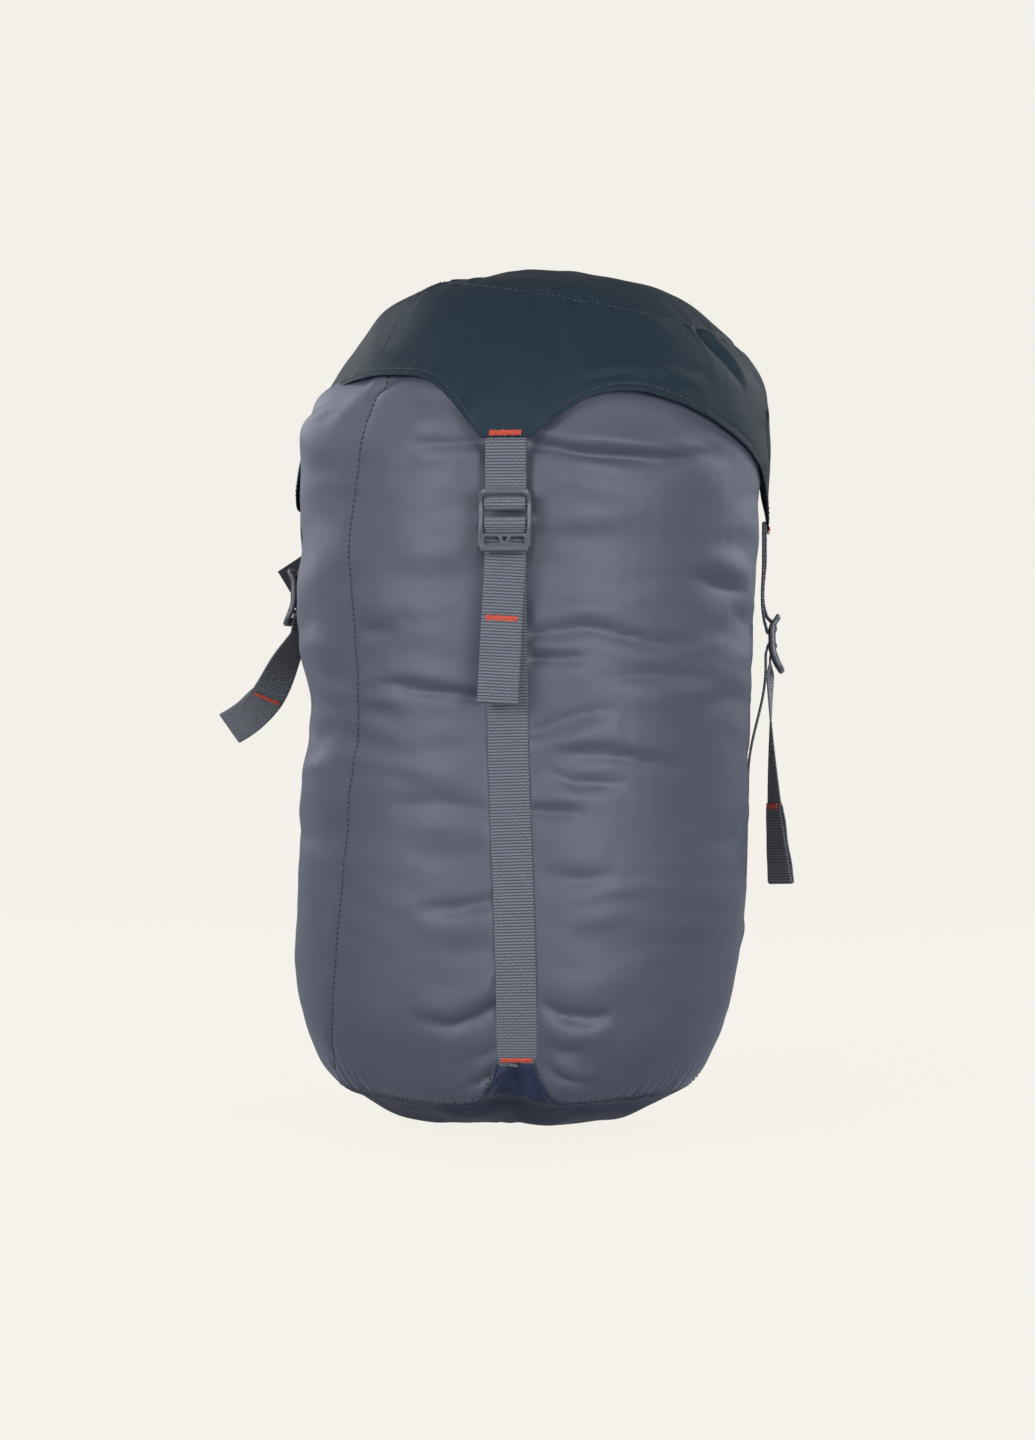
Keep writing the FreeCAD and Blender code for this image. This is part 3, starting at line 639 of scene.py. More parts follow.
def nylon(name, colour, edge, sheen=0.25, rough=0.5, shine=0.42):
    """Smooth coated nylon: fine weave, soft satin sheen, and a slightly bluer painted tint where it turns away from
    view, standing in for the cool sheen it catches at grazing angles.
    """
    m = Nodes(name)
    where = m.coordinates()
    mottled = m.noise(9, 3, 0.55, where)
    fine = m.noise(160, 2, 0.6, where)
    shade = m.value("ADD", m.value("MULTIPLY", mottled, 0.16), m.value("MULTIPLY", fine, 0.07))
    gain = m.value("ADD", shade, 0.885)
    tinted = m.add("ShaderNodeVectorMath", operation="SCALE")
    tinted.inputs[0].default_value = colour
    m.link(gain[0], gain[1], tinted, "Scale")
    facing = m.add("ShaderNodeLayerWeight", Blend=0.35)
    # painted sheen: the edge colour is mixed in by how far the surface turns from view, standing in for the cool sheen
    # at grazing angles
    colour_with_painted_sheen = m.mix(m.value("MULTIPLY", (facing, "Facing"), 0.75), (tinted, 0), edge)
    spread = m.add("ShaderNodeMapping")
    m.link(where[0], where[1], spread, "Vector")
    spread.inputs["Rotation"].default_value = (0.3, 0.9, 0.78)
    weave = m.add("ShaderNodeTexWave", Scale=420.0, Distortion=1.5, Detail=1.0, Detail_Scale=2.0)
    m.link(spread, 0, weave, "Vector")
    grain = m.noise(1500, 1, 0.5, where)
    micro = m.value("ADD", m.value("MULTIPLY", (weave, "Fac"), 0.5), m.value("MULTIPLY", grain, 0.9))
    slack = m.noise(34, 3, 0.5, where)
    first = m.bump(slack, 0.16, 0.004)
    second = m.bump(micro, 0.32, 0.00025, first)
    roughness = m.value("ADD", m.value("MULTIPLY", mottled, 0.12), rough - 0.06)
    return m.finish(
        colour_with_painted_sheen, roughness, second, Specular_IOR_Level=shine, Sheen_Weight=sheen, Sheen_Roughness=0.45,
        Sheen_Tint=(0.72, 0.8, 1.0, 1),
    )


RIB_PITCH = 1.5                 # millimetres between two ribs of the webbing
YARN_PITCH = 1.16               # millimetres between the yarn floats of one rib


def woven(name, light, rib_gap_shade):
    """Ribbed webbing: rows of yarn floats, lit on top, with painted shade in the gaps between them, placed by the
    strip's own millimetres.
    """
    m = Nodes(name)
    uv = m.add("ShaderNodeSeparateXYZ")
    m.link(m.add("ShaderNodeUVMap", uv_map="cloth"), 0, uv, 0)
    row = m.value("DIVIDE", (uv, 1), RIB_PITCH)
    odd = m.value("MULTIPLY", m.value("MODULO", m.value("FLOOR", row), 2.0), 0.5)
    rib = m.value("POWER", m.value("ABSOLUTE", m.value("SINE", m.value("MULTIPLY", row, math.pi))), 0.8)
    column = m.value("ADD", m.value("DIVIDE", (uv, 0), YARN_PITCH), odd)
    float_shape = m.value("ABSOLUTE", m.value("SINE", m.value("MULTIPLY", column, math.pi)))
    yarn = m.value("ADD", m.value("MULTIPLY", m.value("POWER", float_shape, 0.8), 0.76), 0.24)
    height = m.value("MULTIPLY", rib, yarn)
    where = m.coordinates()
    wander = m.noise(60, 2, 0.5, where)
    fuzz = m.noise(2600, 2, 0.6, where)
    # painted light and shade: the floats' tops are painted light, the gaps between the ribs near-black shade
    lit = m.value("ADD", m.value("MULTIPLY", height, 1.05), m.value("MULTIPLY", fuzz, 0.2))
    colour = m.mix(m.value("SUBTRACT", lit, 0.1), rib_gap_shade, light)
    toned = m.mix(m.value("MULTIPLY", wander, 0.22), colour, tuple(c * 0.55 for c in light))
    normal = m.bump(m.value("ADD", height, m.value("MULTIPLY", fuzz, 0.12)), 0.85, 0.0004)
    return m.finish(toned, 0.62, normal, Specular_IOR_Level=0.35, Sheen_Weight=0.2, Sheen_Roughness=0.5)


def moulded(name, colour, rough=0.38):
    """Satin injection-moulded plastic: faint mould texture, lighter along its sharp edges."""
    m = Nodes(name)
    where = m.coordinates()
    grain = m.noise(1900, 2, 0.6, where)
    broad = m.noise(120, 2, 0.5, where)
    shape = m.add("ShaderNodeNewGeometry")
    edge = m.add("ShaderNodeMapRange", From_Min=0.5, From_Max=0.62, To_Min=0.0, To_Max=0.55)
    m.link(shape, "Pointiness", edge, 0)
    shade = m.mix(m.value("MULTIPLY", broad, 0.3), colour, tuple(c * 0.72 for c in colour))
    # lighter along the sharp edges, where the surface is most pointed
    toned = m.mix((edge, 0), shade, tuple(min(1, c * 1.7 + 0.02) for c in colour))
    roughness = m.value("ADD", m.value("MULTIPLY", broad, 0.14), rough - 0.07)
    return m.finish(toned, roughness, m.bump(grain, 0.14, 0.0001), Specular_IOR_Level=0.5)


def thread(name, colour):
    """Polyester sewing thread, with the twist of its plies."""
    m = Nodes(name)
    where = m.coordinates()
    twist = m.noise(2200, 2, 0.6, where)
    wander = m.noise(300, 1, 0.5, where)
    shade = m.mix(m.value("MULTIPLY", twist, 0.6), colour, tuple(c * 0.5 for c in colour))
    shade = m.mix(m.value("MULTIPLY", wander, 0.3), shade, tuple(min(1, c * 1.25 + 0.01) for c in colour))
    return m.finish(shade, 0.55, m.bump(twist, 0.5, 0.0002), Specular_IOR_Level=0.4, Sheen_Weight=0.25)


def braided(name, colour):
    m = Nodes(name)
    where = m.coordinates()
    wave = m.add("ShaderNodeTexWave", Scale=260.0, Distortion=3.0, Detail=2.0)
    m.link(where[0], where[1], wave, "Vector")
    shade = m.mix((wave, "Fac"), tuple(c * 0.55 for c in colour), colour)
    return m.finish(shade, 0.7, m.bump((wave, "Fac"), 0.6, 0.0003), Sheen_Weight=0.3)


def steel(name):
    m = Nodes(name)
    where = m.coordinates()
    drawn = m.noise(900, 2, 0.6, where)
    roughness = m.value("ADD", m.value("MULTIPLY", drawn, 0.2), 0.22)
    return m.finish((0.5, 0.5, 0.52), roughness, m.bump(drawn, 0.2, 0.00005), Metallic=1.0)


def card(name, colour):
    m = Nodes(name)
    where = m.coordinates()
    fibre = m.noise(700, 3, 0.65, where)
    shade = m.mix(m.value("MULTIPLY", fibre, 0.35), colour, tuple(c * 0.7 for c in colour))
    return m.finish(shade, 0.6, m.bump(fibre, 0.2, 0.0001), Specular_IOR_Level=0.35)


# the second colour of each cloth is its painted grazing sheen tint
WALL_CLOTH = nylon("wall_nylon", srgb(67, 70, 84), srgb(48, 57, 82), 0.16, 0.52, 0.42)
# painted shade: the base is the wall's own nylon; its darker navy colour stands in for the shade on the underside,
# which faces down, away from the light
SHADED_BASE_CLOTH = nylon("base_nylon_painted_shade", srgb(31, 40, 64), srgb(24, 36, 66), 0.06, 0.6, 0.25)
LID_CLOTH = nylon("lid_nylon", srgb(20, 36, 47), srgb(10, 25, 38), 0.0, 0.64, 0.2)
TAPE = nylon("seam_tape", srgb(48, 50, 56), srgb(40, 44, 52), 0.3, 0.7)
# the webbing's second colour is painted shade for the gaps between its ribs
WEBBING = woven("webbing", srgb(112, 118, 131), srgb(9, 11, 16))
BUCKLE_PLASTIC = moulded("buckle_plastic", srgb(70, 73, 82))
LOCK_PLASTIC = moulded("cord_lock_plastic", srgb(50, 52, 58))
BARTACK_THREAD = thread("bartack_thread", srgb(204, 70, 44))
SEAM_THREAD = thread("seam_thread", srgb(18, 22, 34))
LID_THREAD = thread("lid_thread", srgb(24, 31, 38))
CORD = braided("cord", srgb(40, 42, 48))
STEEL = steel("spring_steel")
CARD = card("tag_card", srgb(62, 62, 65))

# ---------------------------------------------------------------- the wall and the base

COLUMNS = 288
theta = np.linspace(-180, 180, COLUMNS, endpoint=False)[:, None]


def all_wall_folds(angles, heights):
    total = np.zeros(np.broadcast(angles, heights).shape)
    for path, width, depth, roll, side in WALL_FOLDS + side_folds():
        total = total + fold(angles, heights, path, 1.1 * width, 1.25 * depth, 1.05 * roll, side)
    return total


def seam_puckers(angles, distance, turns, seed, height, fade):
    """Small pleats that run away from a gathered seam."""
    t = np.radians(angles)
    drift = 0.9 * np.sin(5 * t + seed) + 0.7 * np.sin(11 * t + 2 * seed)
    wave = np.sin(turns * t + 2.2 * drift) + 0.6 * np.sin(turns * 1.63 * t + 1.7 * drift + seed)
    strength = 0.55 + 0.45 * np.sin(7 * t + 1.3 * seed)
    return height * wave * strength * np.exp(-distance / fade) * np.clip(distance / 1.5, 0, 1)


def strap_distance(angles, z=None):
    """Degrees to the nearest strap."""
    away = []
    for name, angle in STRAP_ANGLE.items():
        drift = 0 if z is None else strap_drift(name, z)
        away.append(np.abs(around(angles, angle + drift)))
    return np.min(away, axis=0)


seam_s = BODY.s_at_z(base_seam_z(theta))
shoulder_s = BODY.s_at_z(399.0)
WALL_ROWS = 119
UNDER_ROWS = 22
low_part = np.linspace(0, 1, WALL_ROWS)[None, :] * (shoulder_s - seam_s) + seam_s
high_part = np.linspace(shoulder_s, BODY.end, UNDER_ROWS + 1)[None, 1:] + 0 * theta
wall_s = np.concatenate([low_part, high_part], axis=1)
wall_z = BODY.at(wall_s)[1]
wall_theta = theta + 0 * wall_s
near_strap = strap_distance(wall_theta, wall_z)
wall_start = body_point(wall_theta, wall_s, 0.35 * noise2(wall_theta, wall_z, 40, 3) * step01(near_strap, 3, 9))


def settle_wall():
    """Cloth simulation of the wall: slack along the straps' pull, taut round the sack."""
    z = wall_start[..., 2]
    slack = 0.045 + 0.045 * np.exp(-((near_strap / 24) ** 2))
    rest = wall_start.copy()
    rest[..., 2] = z * (1 + slack)
    rest[..., :2] *= 0.99
    pins = np.zeros(z.shape)
    pins[:, :2] = 1
    pins[near_strap < 4.9] = 1
    pins[wall_s > shoulder_s - 14] = 1
    return simulate(wall_start, rest, pins, 22, 3.0, 7.0)


wall_points = settle_wall()
radial, upward = BODY.normal(wall_s)
turn = np.radians(wall_theta)
wall_normals = np.stack([radial * np.sin(turn), -radial * np.cos(turn), upward], -1)
under_lid = np.clip((wall_s - shoulder_s) / (BODY.end - shoulder_s), 0, 1)
wall_relief = all_wall_folds(seen_angle(BODY, BODY_LEAN, wall_theta, wall_s), wall_z)
flattened = step01(near_strap, 6.4, 4.9) * step01(wall_z, 44, 48)
wall_relief -= flattened * (np.maximum(wall_relief, 0) + 0.5 * np.minimum(wall_relief, 0))
wall_relief += seam_puckers(wall_theta, wall_s - seam_s, 88, 1.3, 0.95, 11)
loose = step01(near_strap, 4, 14) * step01(wall_z, 60, 90) * step01(wall_z, 385, 350)
patches = np.clip(0.3 + noise2(wall_theta, wall_z, 75, 33), 0, 1)
ripple = np.sin(wall_z / 3.3 + 2.4 * noise2(wall_theta, wall_z, 70, 31))
wall_relief += loose * (0.42 * patches * ripple + 0.9 * noise2(wall_theta, wall_z, 80, 35))
wall_relief += 1.6 * under_lid * np.sin(np.radians(wall_theta) * 26 + 1.5 * np.sin(3 * turn))
wall_points = wall_points + wall_normals * wall_relief[..., None]
wall = shell("wall_cloth", wall_points, 0.5, WALL_CLOTH)
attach(wall, "sack")
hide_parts("wall_panel")

BASE_ROWS = 44
base_s = np.linspace(0.004, 1, BASE_ROWS)[None, :] * seam_s
base_theta = theta + 0 * base_s
base_r, base_z = BODY.at(base_s)
to_strap = strap_distance(base_theta)
base_gap = (seam_s - base_s)
lobes = -5.5 * np.exp(-((to_strap / 13) ** 2)) * step01(base_r, 20, 62) * step01(base_gap, 0, 16)
lobes += 1.2 * noise2(base_theta, base_r, 46, 9) * step01(base_gap, 0, 14)
base_seen = seen_angle(BODY, BODY_LEAN, base_theta, base_s)
base_relief = all_wall_folds(base_seen, base_z) * np.exp(-base_gap / 22)
base_relief += seam_puckers(base_theta, base_gap, 60, 2.1, 0.5, 12)
for fold_path, fold_depth in (
    ([(-2.5, 46), (-4.5, 30), (-7, 12)], 2.4),
    ([(3.5, 47), (5.5, 30), (9, 10)], 2.6),
    ([(7, 42), (12, 28), (20, 14)], 1.8),
    ([(-6, 38), (-12, 26), (-20, 14)], 1.8),
):
    base_relief += fold(base_theta, base_z, fold_path, 2.4, fold_depth, 1.4, 1) * step01(base_gap, 0, 3)
base_points = body_point(base_theta, base_s, base_relief + lobes)
base_points[..., 2] = np.maximum(base_points[..., 2], 0.3)
# the base wears the wall's nylon with painted shade in its colour
base = shell("base_cloth", base_points, 0.5, SHADED_BASE_CLOTH, centre="start")
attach(base, "sack")
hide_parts("base_panel")


def surface_at(points, angles, s_grid, angle, s):
    """Point and outward normal on a finished grid, at an angle and a length along the profile."""
    normals = grid_normals(points)
    col = ((np.asarray(angle, float) - angles[0, 0]) % 360) / 360 * COLUMNS
    c0 = np.floor(col).astype(int) % COLUMNS
    c1 = (c0 + 1) % COLUMNS
    f = (col - np.floor(col))[:, None]
    found = []
    for c in (c0, c1):
        j = np.array([np.interp(sv, s_grid[k], np.arange(s_grid.shape[1])) for k, sv in zip(c, s)])
        j0 = np.clip(np.floor(j).astype(int), 0, s_grid.shape[1] - 2)
        g = (j - j0)[:, None]
        found.append((
            points[c, j0] * (1 - g) + points[c, j0 + 1] * g,
            normals[c, j0] * (1 - g) + normals[c, j0 + 1] * g,
        ))
    p = found[0][0] * (1 - f) + found[1][0] * f
    n = found[0][1] * (1 - f) + found[1][1] * f
    return p, n / np.linalg.norm(n, axis=1, keepdims=True)

# ---------------------------------------------------------------- the lid

LID_FOLDS = [
    # the ridge that the front strap pulls from the point up to the top seam
    ([(-9, 366), (-8, 400), (-7, 426)], 7.5, 1.0, 0.6, -1),
    ([(13, 380), (13, 405), (14, 428)], 7.5, 1.4, 0.8, 1),
    ([(1, 372), (2, 405), (5, 430)], 6.0, -1.7, 0.0, 1),
    # small folds beside the point, over the right arch
    ([(12, 372), (20, 384), (34, 389)], 2.6, 1.8, 1.6, -1),
    ([(9, 362), (15, 372), (22, 376.5)], 2.0, 1.2, 1.0, 1),
    ([(14, 390), (24, 396), (40, 396), (54, 390)], 4.5, 1.6, 1.5, -1),
    ([(24, 383), (36, 386), (50, 380)], 2.8, 1.2, 1.2, 1),
    # the roll over the left arch
    ([(-28, 396), (-20, 391), (-12, 378)], 3.2, 1.0, 1.8, -1),
    ([(-50, 410), (-34, 402), (-20, 399)], 6.0, 0.8, 1.2, 1),
    # creases down from the top seam on the right
    ([(50, 429), (57, 416), (62, 396), (66, 384)], 3.0, 2.4, 3.0, 1),
    ([(30, 432), (36, 415), (40, 405)], 4.5, 1.3, 1.2, 1),
    ([(70, 416), (78, 400), (84, 380)], 4.0, 1.6, 1.6, 1),
    ([(84, 372), (87, 352), (86, 334)], 3.0, 1.2, 1.4, 1),
    ([(98, 400), (99, 375), (97, 345)], 4.0, 1.4, 1.6, 1),
    ([(-105, 400), (-108, 378), (-104, 350)], 4.0, 1.2, 1.4, 1),
    ([(172, 410), (174, 385), (172, 360)], 5.0, 1.4, 1.6, 1),
    ([(188, 412), (187, 390), (187, 365)], 5.0, 1.2, 1.4, -1),
    ([(-70, 425), (-80, 405), (-84, 392)], 4.0, 1.0, 1.2, 1),
    ([(140, 425), (138, 405), (130, 388)], 5.0, 1.4, 1.4, 1),
    ([(-142, 425), (-140, 405), (-134, 388)], 5.0, 1.3, 1.4, -1),
    ([(110, 395), (124, 390), (140, 392)], 4.0, 1.2, 1.2, -1),
    ([(-160, 385), (-148, 390), (-132, 390)], 4.0, 1.2, 1.2, 1),
]
HEM = 3.8                       # distance from the lid's edge to its topstitching


def lid_edge_z(angles):
    """Height of the lid's lower edge; the table's angles are seen from the sack's own axis."""
    angles = np.asarray(angles, float)
    z = smooth(angles, LID_EDGE)
    seen = angles + np.degrees(smooth(z, LID_LEAN) * np.cos(np.radians(angles)) / 126)
    return smooth(around(seen, 0), LID_EDGE)


def lid_relief(angles, s, z, edge_gap, seam_gap):
    """How far the lid's wall stands out of its smooth outline."""
    out = np.zeros(np.broadcast(angles, s).shape)
    seen = seen_angle(LID, LID_LEAN, angles, s)
    for path, width, depth, roll, side in LID_FOLDS:
        out = out + fold(seen, z, path, width, depth, roll, side)
    out = out * (0.25 + 0.75 * step01(edge_gap, 0, 14)) * step01(seam_gap, 0, 7)
    out -= 0.3 * np.exp(-(((edge_gap - HEM) / 0.7) ** 2))
    out += 0.12 * np.exp(-(((edge_gap - HEM * 0.45) / 1.3) ** 2))
    out += seam_puckers(angles, seam_gap, 41, 0.7, 0.75, 12)
    out += seam_puckers(angles, edge_gap, 44, 3.1, 0.3, 10)
    out += 1.1 * noise2(angles, z, 62, 15) * step01(seam_gap, 0, 18) * step01(edge_gap, 0, 14)
    return out


LID_ROWS = 67
edge_s = LID.s_at_z(lid_edge_z(theta))
top_s = LID.s_at_z(top_seam_z(theta))
lid_s = np.linspace(0, 1, LID_ROWS)[None, :] * (top_s - edge_s) + edge_s
lid_theta = theta + 0 * lid_s
lid_z = LID.at(lid_s)[1]
lid_start = place(LID, LID_LEAN, lid_theta, lid_s)


def settle_lid():
    """Cloth simulation of the lid's wall, loose round the sack so that it gathers towards the top seam."""
    rest = lid_start.copy()
    rest[..., :2] *= 1.022
    rest[..., 2] *= 1.012
    pins = np.zeros(lid_z.shape)
    pins[:, :2] = 1
    pins[:, -2:] = 1
    pins[(strap_distance(lid_theta) < 4.5) & (lid_s - edge_s < 22)] = 1
    return simulate(lid_start, rest, pins, 16, 2.0, 3.5)


lid_points = settle_lid()
radial, upward = LID.normal(lid_s)
turn = np.radians(lid_theta)
lid_normals = np.stack([radial * np.sin(turn), -radial * np.cos(turn), upward], -1)
lid_out = lid_relief(lid_theta, lid_s, lid_z, lid_s - edge_s, top_s - lid_s)
lid_points = lid_points + lid_normals * lid_out[..., None]
for name, (axis_z, tip_z, axis_r, *_) in STRAPS.items():
    # the cloth lies flat over the buckle's loop at each of the lid's points
    across = np.radians(STRAP_ANGLE[name])
    outward = np.array([math.sin(across), -math.cos(across), 0])
    away = np.abs(around(seen_angle(LID, LID_LEAN, lid_theta, lid_s), STRAP_ANGLE[name]))
    share = step01(away, 12, 5.6) * step01(lid_z, tip_z + 36, tip_z + 8)
    gap = axis_r + LID_LAY - lid_points @ outward
    lid_points = lid_points + outward * (share * gap)[..., None]
lid_wall = shell("lid_wall_cloth", lid_points, 0.7, LID_CLOTH)
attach(lid_wall, "lid")
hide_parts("lid_wall")

TOP_ROWS = 40
top_share = np.concatenate([[-0.03, -0.012], np.linspace(0, 0.997, TOP_ROWS - 2)])
lid_top_s = top_s + top_share[None, :] * (LID.end - top_s)
top_theta = theta + 0 * lid_top_s
top_r, top_z = LID.at(lid_top_s)
top_gap = lid_top_s - top_s
top_out = -1.3 * step01(top_gap, 1.5, -1.5)
top_out += seam_puckers(top_theta, np.maximum(top_gap, 0), 39, 4.4, 0.7, 13)
top_out += 1.1 * noise2(top_theta, top_r, 60, 27) * step01(top_gap, 0, 22) * step01(top_r, 0, 30)
top_out += 0.6 * np.sin(np.radians(top_theta) * 3 + 1) * step01(top_gap, 0, 25) * step01(top_r, 5, 40)
top_points = place(LID, LID_LEAN, top_theta, lid_top_s, top_out)
lid_top = shell("lid_top_cloth", top_points, 0.7, LID_CLOTH, centre="end")
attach(lid_top, "lid")
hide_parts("lid_top")


def inner_tape(name, outline, lean, start, length, relief, body, node):
    """Binding tape that follows a seam on the inside of the cloth."""
    s = start + np.linspace(0, length, 6)[None, :]
    angles = theta + 0 * s
    points = place(outline, lean, angles, s, relief(angles, s) - 1.3)
    tape = shell(name, points, 0.5, TAPE, fine=False)
    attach(tape, body)
    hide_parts(node)


def body_tape_relief(angles, s):
    z = BODY.at(s)[1]
    return body_relief(angles, s, z) + np.minimum(all_wall_folds(angles, z), 0)


inner_tape("base_seam_tape", BODY, BODY_LEAN, seam_s + 2, 9, body_tape_relief, "sack", "base_seam_binding")
inner_tape("lid_seam_tape", LID, LID_LEAN, top_s - 10, 8, lambda a, s: 0 * s - 1.8, "lid", "lid_seam_binding")

tape_z = np.linspace(50, 345, 120)
tape_angle = smooth(tape_z, SEAM_ANGLE)
tape_s = BODY.s_at_z(tape_z)
tape_rows = []
for offset in np.linspace(-1.8, 1.8, 5):
    angle = tape_angle + offset
    inward = body_tape_relief(angle, tape_s) - 2.6
    tape_rows.append(place(BODY, BODY_LEAN, angle, tape_s, inward))
side_tape = shell("side_seam_tape", np.array(tape_rows), 0.5, TAPE, closed=False, fine=False)
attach(side_tape, "sack")
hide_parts("side_seam_binding")

# ---------------------------------------------------------------- thread


def tube(path, normals, radius, sides=6, height=None):
    """Vertices and faces of a closed tube along a path; height is its half size along the normals, if not round."""
    path = np.asarray(path, float)
    tangent = np.gradient(path, axis=0)
    tangent /= np.maximum(np.linalg.norm(tangent, axis=1, keepdims=True), 1e-9)
    side = np.cross(tangent, normals)
    side /= np.maximum(np.linalg.norm(side, axis=1, keepdims=True), 1e-9)
    up = np.cross(side, tangent)
    a = np.linspace(0, 2 * np.pi, sides, endpoint=False)
    height = radius if height is None else height
    radius, height = (np.broadcast_to(v, len(path))[:, None, None] for v in (radius, height))
    rings = path[:, None] + radius * side[:, None] * np.cos(a)[:, None] + height * up[:, None] * np.sin(a)[:, None]
    n = len(path)
    faces = []
    for i in range(n - 1):
        for j in range(sides):
            k = (j + 1) % sides
            faces.append((i * sides + j, (i + 1) * sides + j, (i + 1) * sides + k, i * sides + k))
    faces.append(tuple(range(sides)))
    faces.append(tuple((n - 1) * sides + j for j in range(sides))[::-1])
    return rings.reshape(-1, 3), faces


def joined(name, parts, material):
    """One mesh out of many (vertices, faces) parts."""
    verts = []
    faces = []
    count = 0
    for v, f in parts:
        verts.append(v)
        faces.extend(tuple(i + count for i in face) for face in f)
        count += len(v)
    return mesh_from(name, np.concatenate(verts), faces, material)


def along_path(points, normals, step):
    """The same path with points at a steady step."""
    length = np.concatenate([[0], np.cumsum(np.linalg.norm(np.diff(points, axis=0), axis=1))])
    at = np.arange(0, length[-1], step)
    p = np.stack([np.interp(at, length, points[:, k]) for k in range(3)], 1)
    n = np.stack([np.interp(at, length, normals[:, k]) for k in range(3)], 1)
    return p, n / np.linalg.norm(n, axis=1, keepdims=True)


def dashes(name, lines, pitch, length, radius, material, body, lift=0.05):
    """Lockstitch: a row of short threads that dip into the cloth between one another."""
    parts = []
    for points, normals in lines:
        p, n = along_path(points, normals, pitch)
        t = np.gradient(p, axis=0)
        t /= np.linalg.norm(t, axis=1, keepdims=True)
        for centre, normal, tangent in zip(p, n, t):
            bend = np.linspace(-1, 1, 5)
            spine = centre + tangent * (bend * length / 2)[:, None] + normal * (lift - 0.28 * bend**2)[:, None]
            size = radius * np.array([0.55, 0.95, 1.0, 0.95, 0.55])
            parts.append(tube(spine, np.tile(normal, (5, 1)), size, 5))
    piece = joined(name, parts, material)
    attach(piece, body)
    return piece


def bartack(centre, across, up, normal, width, height, rows=26):
    """Dense zigzag of thread over a few straight threads, with a ragged, hand-set look."""
    parts = []
    x = np.linspace(-width / 2, width / 2, rows)
    y = np.where(np.arange(rows) % 2 == 0, -1, 1) * height / 2
    wobble = 0.22 * np.sin(np.arange(rows) * 2.4) + 0.14 * np.sin(np.arange(rows) * 5.1 + 1)
    path = centre + across * x[:, None] + up * (y + wobble)[:, None] + normal * 0.42
    dense = np.concatenate([np.linspace(path[i], path[i + 1], 6)[:-1] for i in range(rows - 1)] + [path[-1:]])
    arch = np.tile(np.array([-0.34, -0.05, 0.06, 0.06, -0.05]), rows - 1)
    dense[:-1] += normal * arch[:, None]
    parts.append(tube(dense, np.tile(normal, (len(dense), 1)), 0.24, 6))
    for level in (-0.5, 0.5):
        ends = np.linspace(-width / 2, width / 2, 8)
        line = centre + across * ends[:, None] + up * level * height * 0.6 + normal * 0.16
        parts.append(tube(line, np.tile(normal, (8, 1)), 0.2, 5))
    return parts


# ---------------------------------------------------------------- webbing

WIDTH = 20.0
THICK = 1.2


def ribbon(name, points, across, start=0.0, width=WIDTH, thick=THICK):
    """Ribbed webbing along a path. points and across are arrays of places and sideways directions."""
    points = np.asarray(points, float)
    across = np.asarray(across, float)
    length = np.concatenate([[0], np.cumsum(np.linalg.norm(np.diff(points, axis=0), axis=1))])
    count = max(3, int(round(length[-1] / (RIB_PITCH / 6))) + 1)
    at = np.linspace(0, length[-1], count)
    p = np.stack([np.interp(at, length, points[:, k]) for k in range(3)], 1)
    a = np.stack([np.interp(at, length, across[:, k]) for k in range(3)], 1)
    t = np.gradient(p, axis=0)
    t /= np.linalg.norm(t, axis=1, keepdims=True)
    a -= t * (a * t).sum(1, keepdims=True)
    a /= np.linalg.norm(a, axis=1, keepdims=True)
    n = np.cross(a, t)
    phase = np.abs(np.sin(np.pi * (at + start) / RIB_PITCH)) ** 0.8
    half = thick / 2 * (0.72 + 0.28 * phase)
    lane = np.concatenate([[-1, -0.985, -0.94], np.linspace(-0.88, 0.88, 9), [0.94, 0.985, 1]])
    round_off = np.array([0.25, 0.62, 0.92] + [1.0] * 9 + [0.92, 0.62, 0.25])
    edge_wave = 1 + 0.006 * (phase - 0.5)
    x = np.concatenate([lane, lane[::-1]]) * width / 2
    h = np.concatenate([round_off, -round_off[::-1]])
    ring = p[:, None] + a[:, None] * (x * edge_wave[:, None])[..., None]
    ring = ring + n[:, None] * (h * half[:, None])[..., None]
    m = ring.shape[1]
    verts = ring.reshape(-1, 3)
    faces = []
    for i in range(count - 1):
        for j in range(m):
            k = (j + 1) % m
            faces.append((i * m + j, i * m + k, (i + 1) * m + k, (i + 1) * m + j))
    faces.append(tuple(range(m))[::-1])
    faces.append(tuple((count - 1) * m + j for j in range(m)))
    uv = np.stack([x + width / 2 + 0 * at[:, None], 0 * x + at[:, None] + start], -1)
    piece = mesh_from(name, verts, faces, WEBBING, uv=uv.reshape(-1, 2))
    return piece, start + length[-1]


TAIL_GAP = 0.9                  # from the pivot to the first millimetre of the tail
TAIL_BOW = 3.4                  # how far a tail that swings outward bows away from the sack
TAIL_FOLD = 44.0                # length of the folded end
PIVOT = (-0.5, -25.0)           # where the tail leaves the buckle: outward, up
REAR_LAY = -2.9                 # where the loaded strap lies behind the buckle


def turned_about(v, axis, degrees):
    """Vectors turned about an axis."""
    a = math.radians(degrees)
    axis = np.asarray(axis, float)
    return v * math.cos(a) + np.cross(axis, v) * math.sin(a) + axis * np.dot(v, axis) * (1 - math.cos(a))


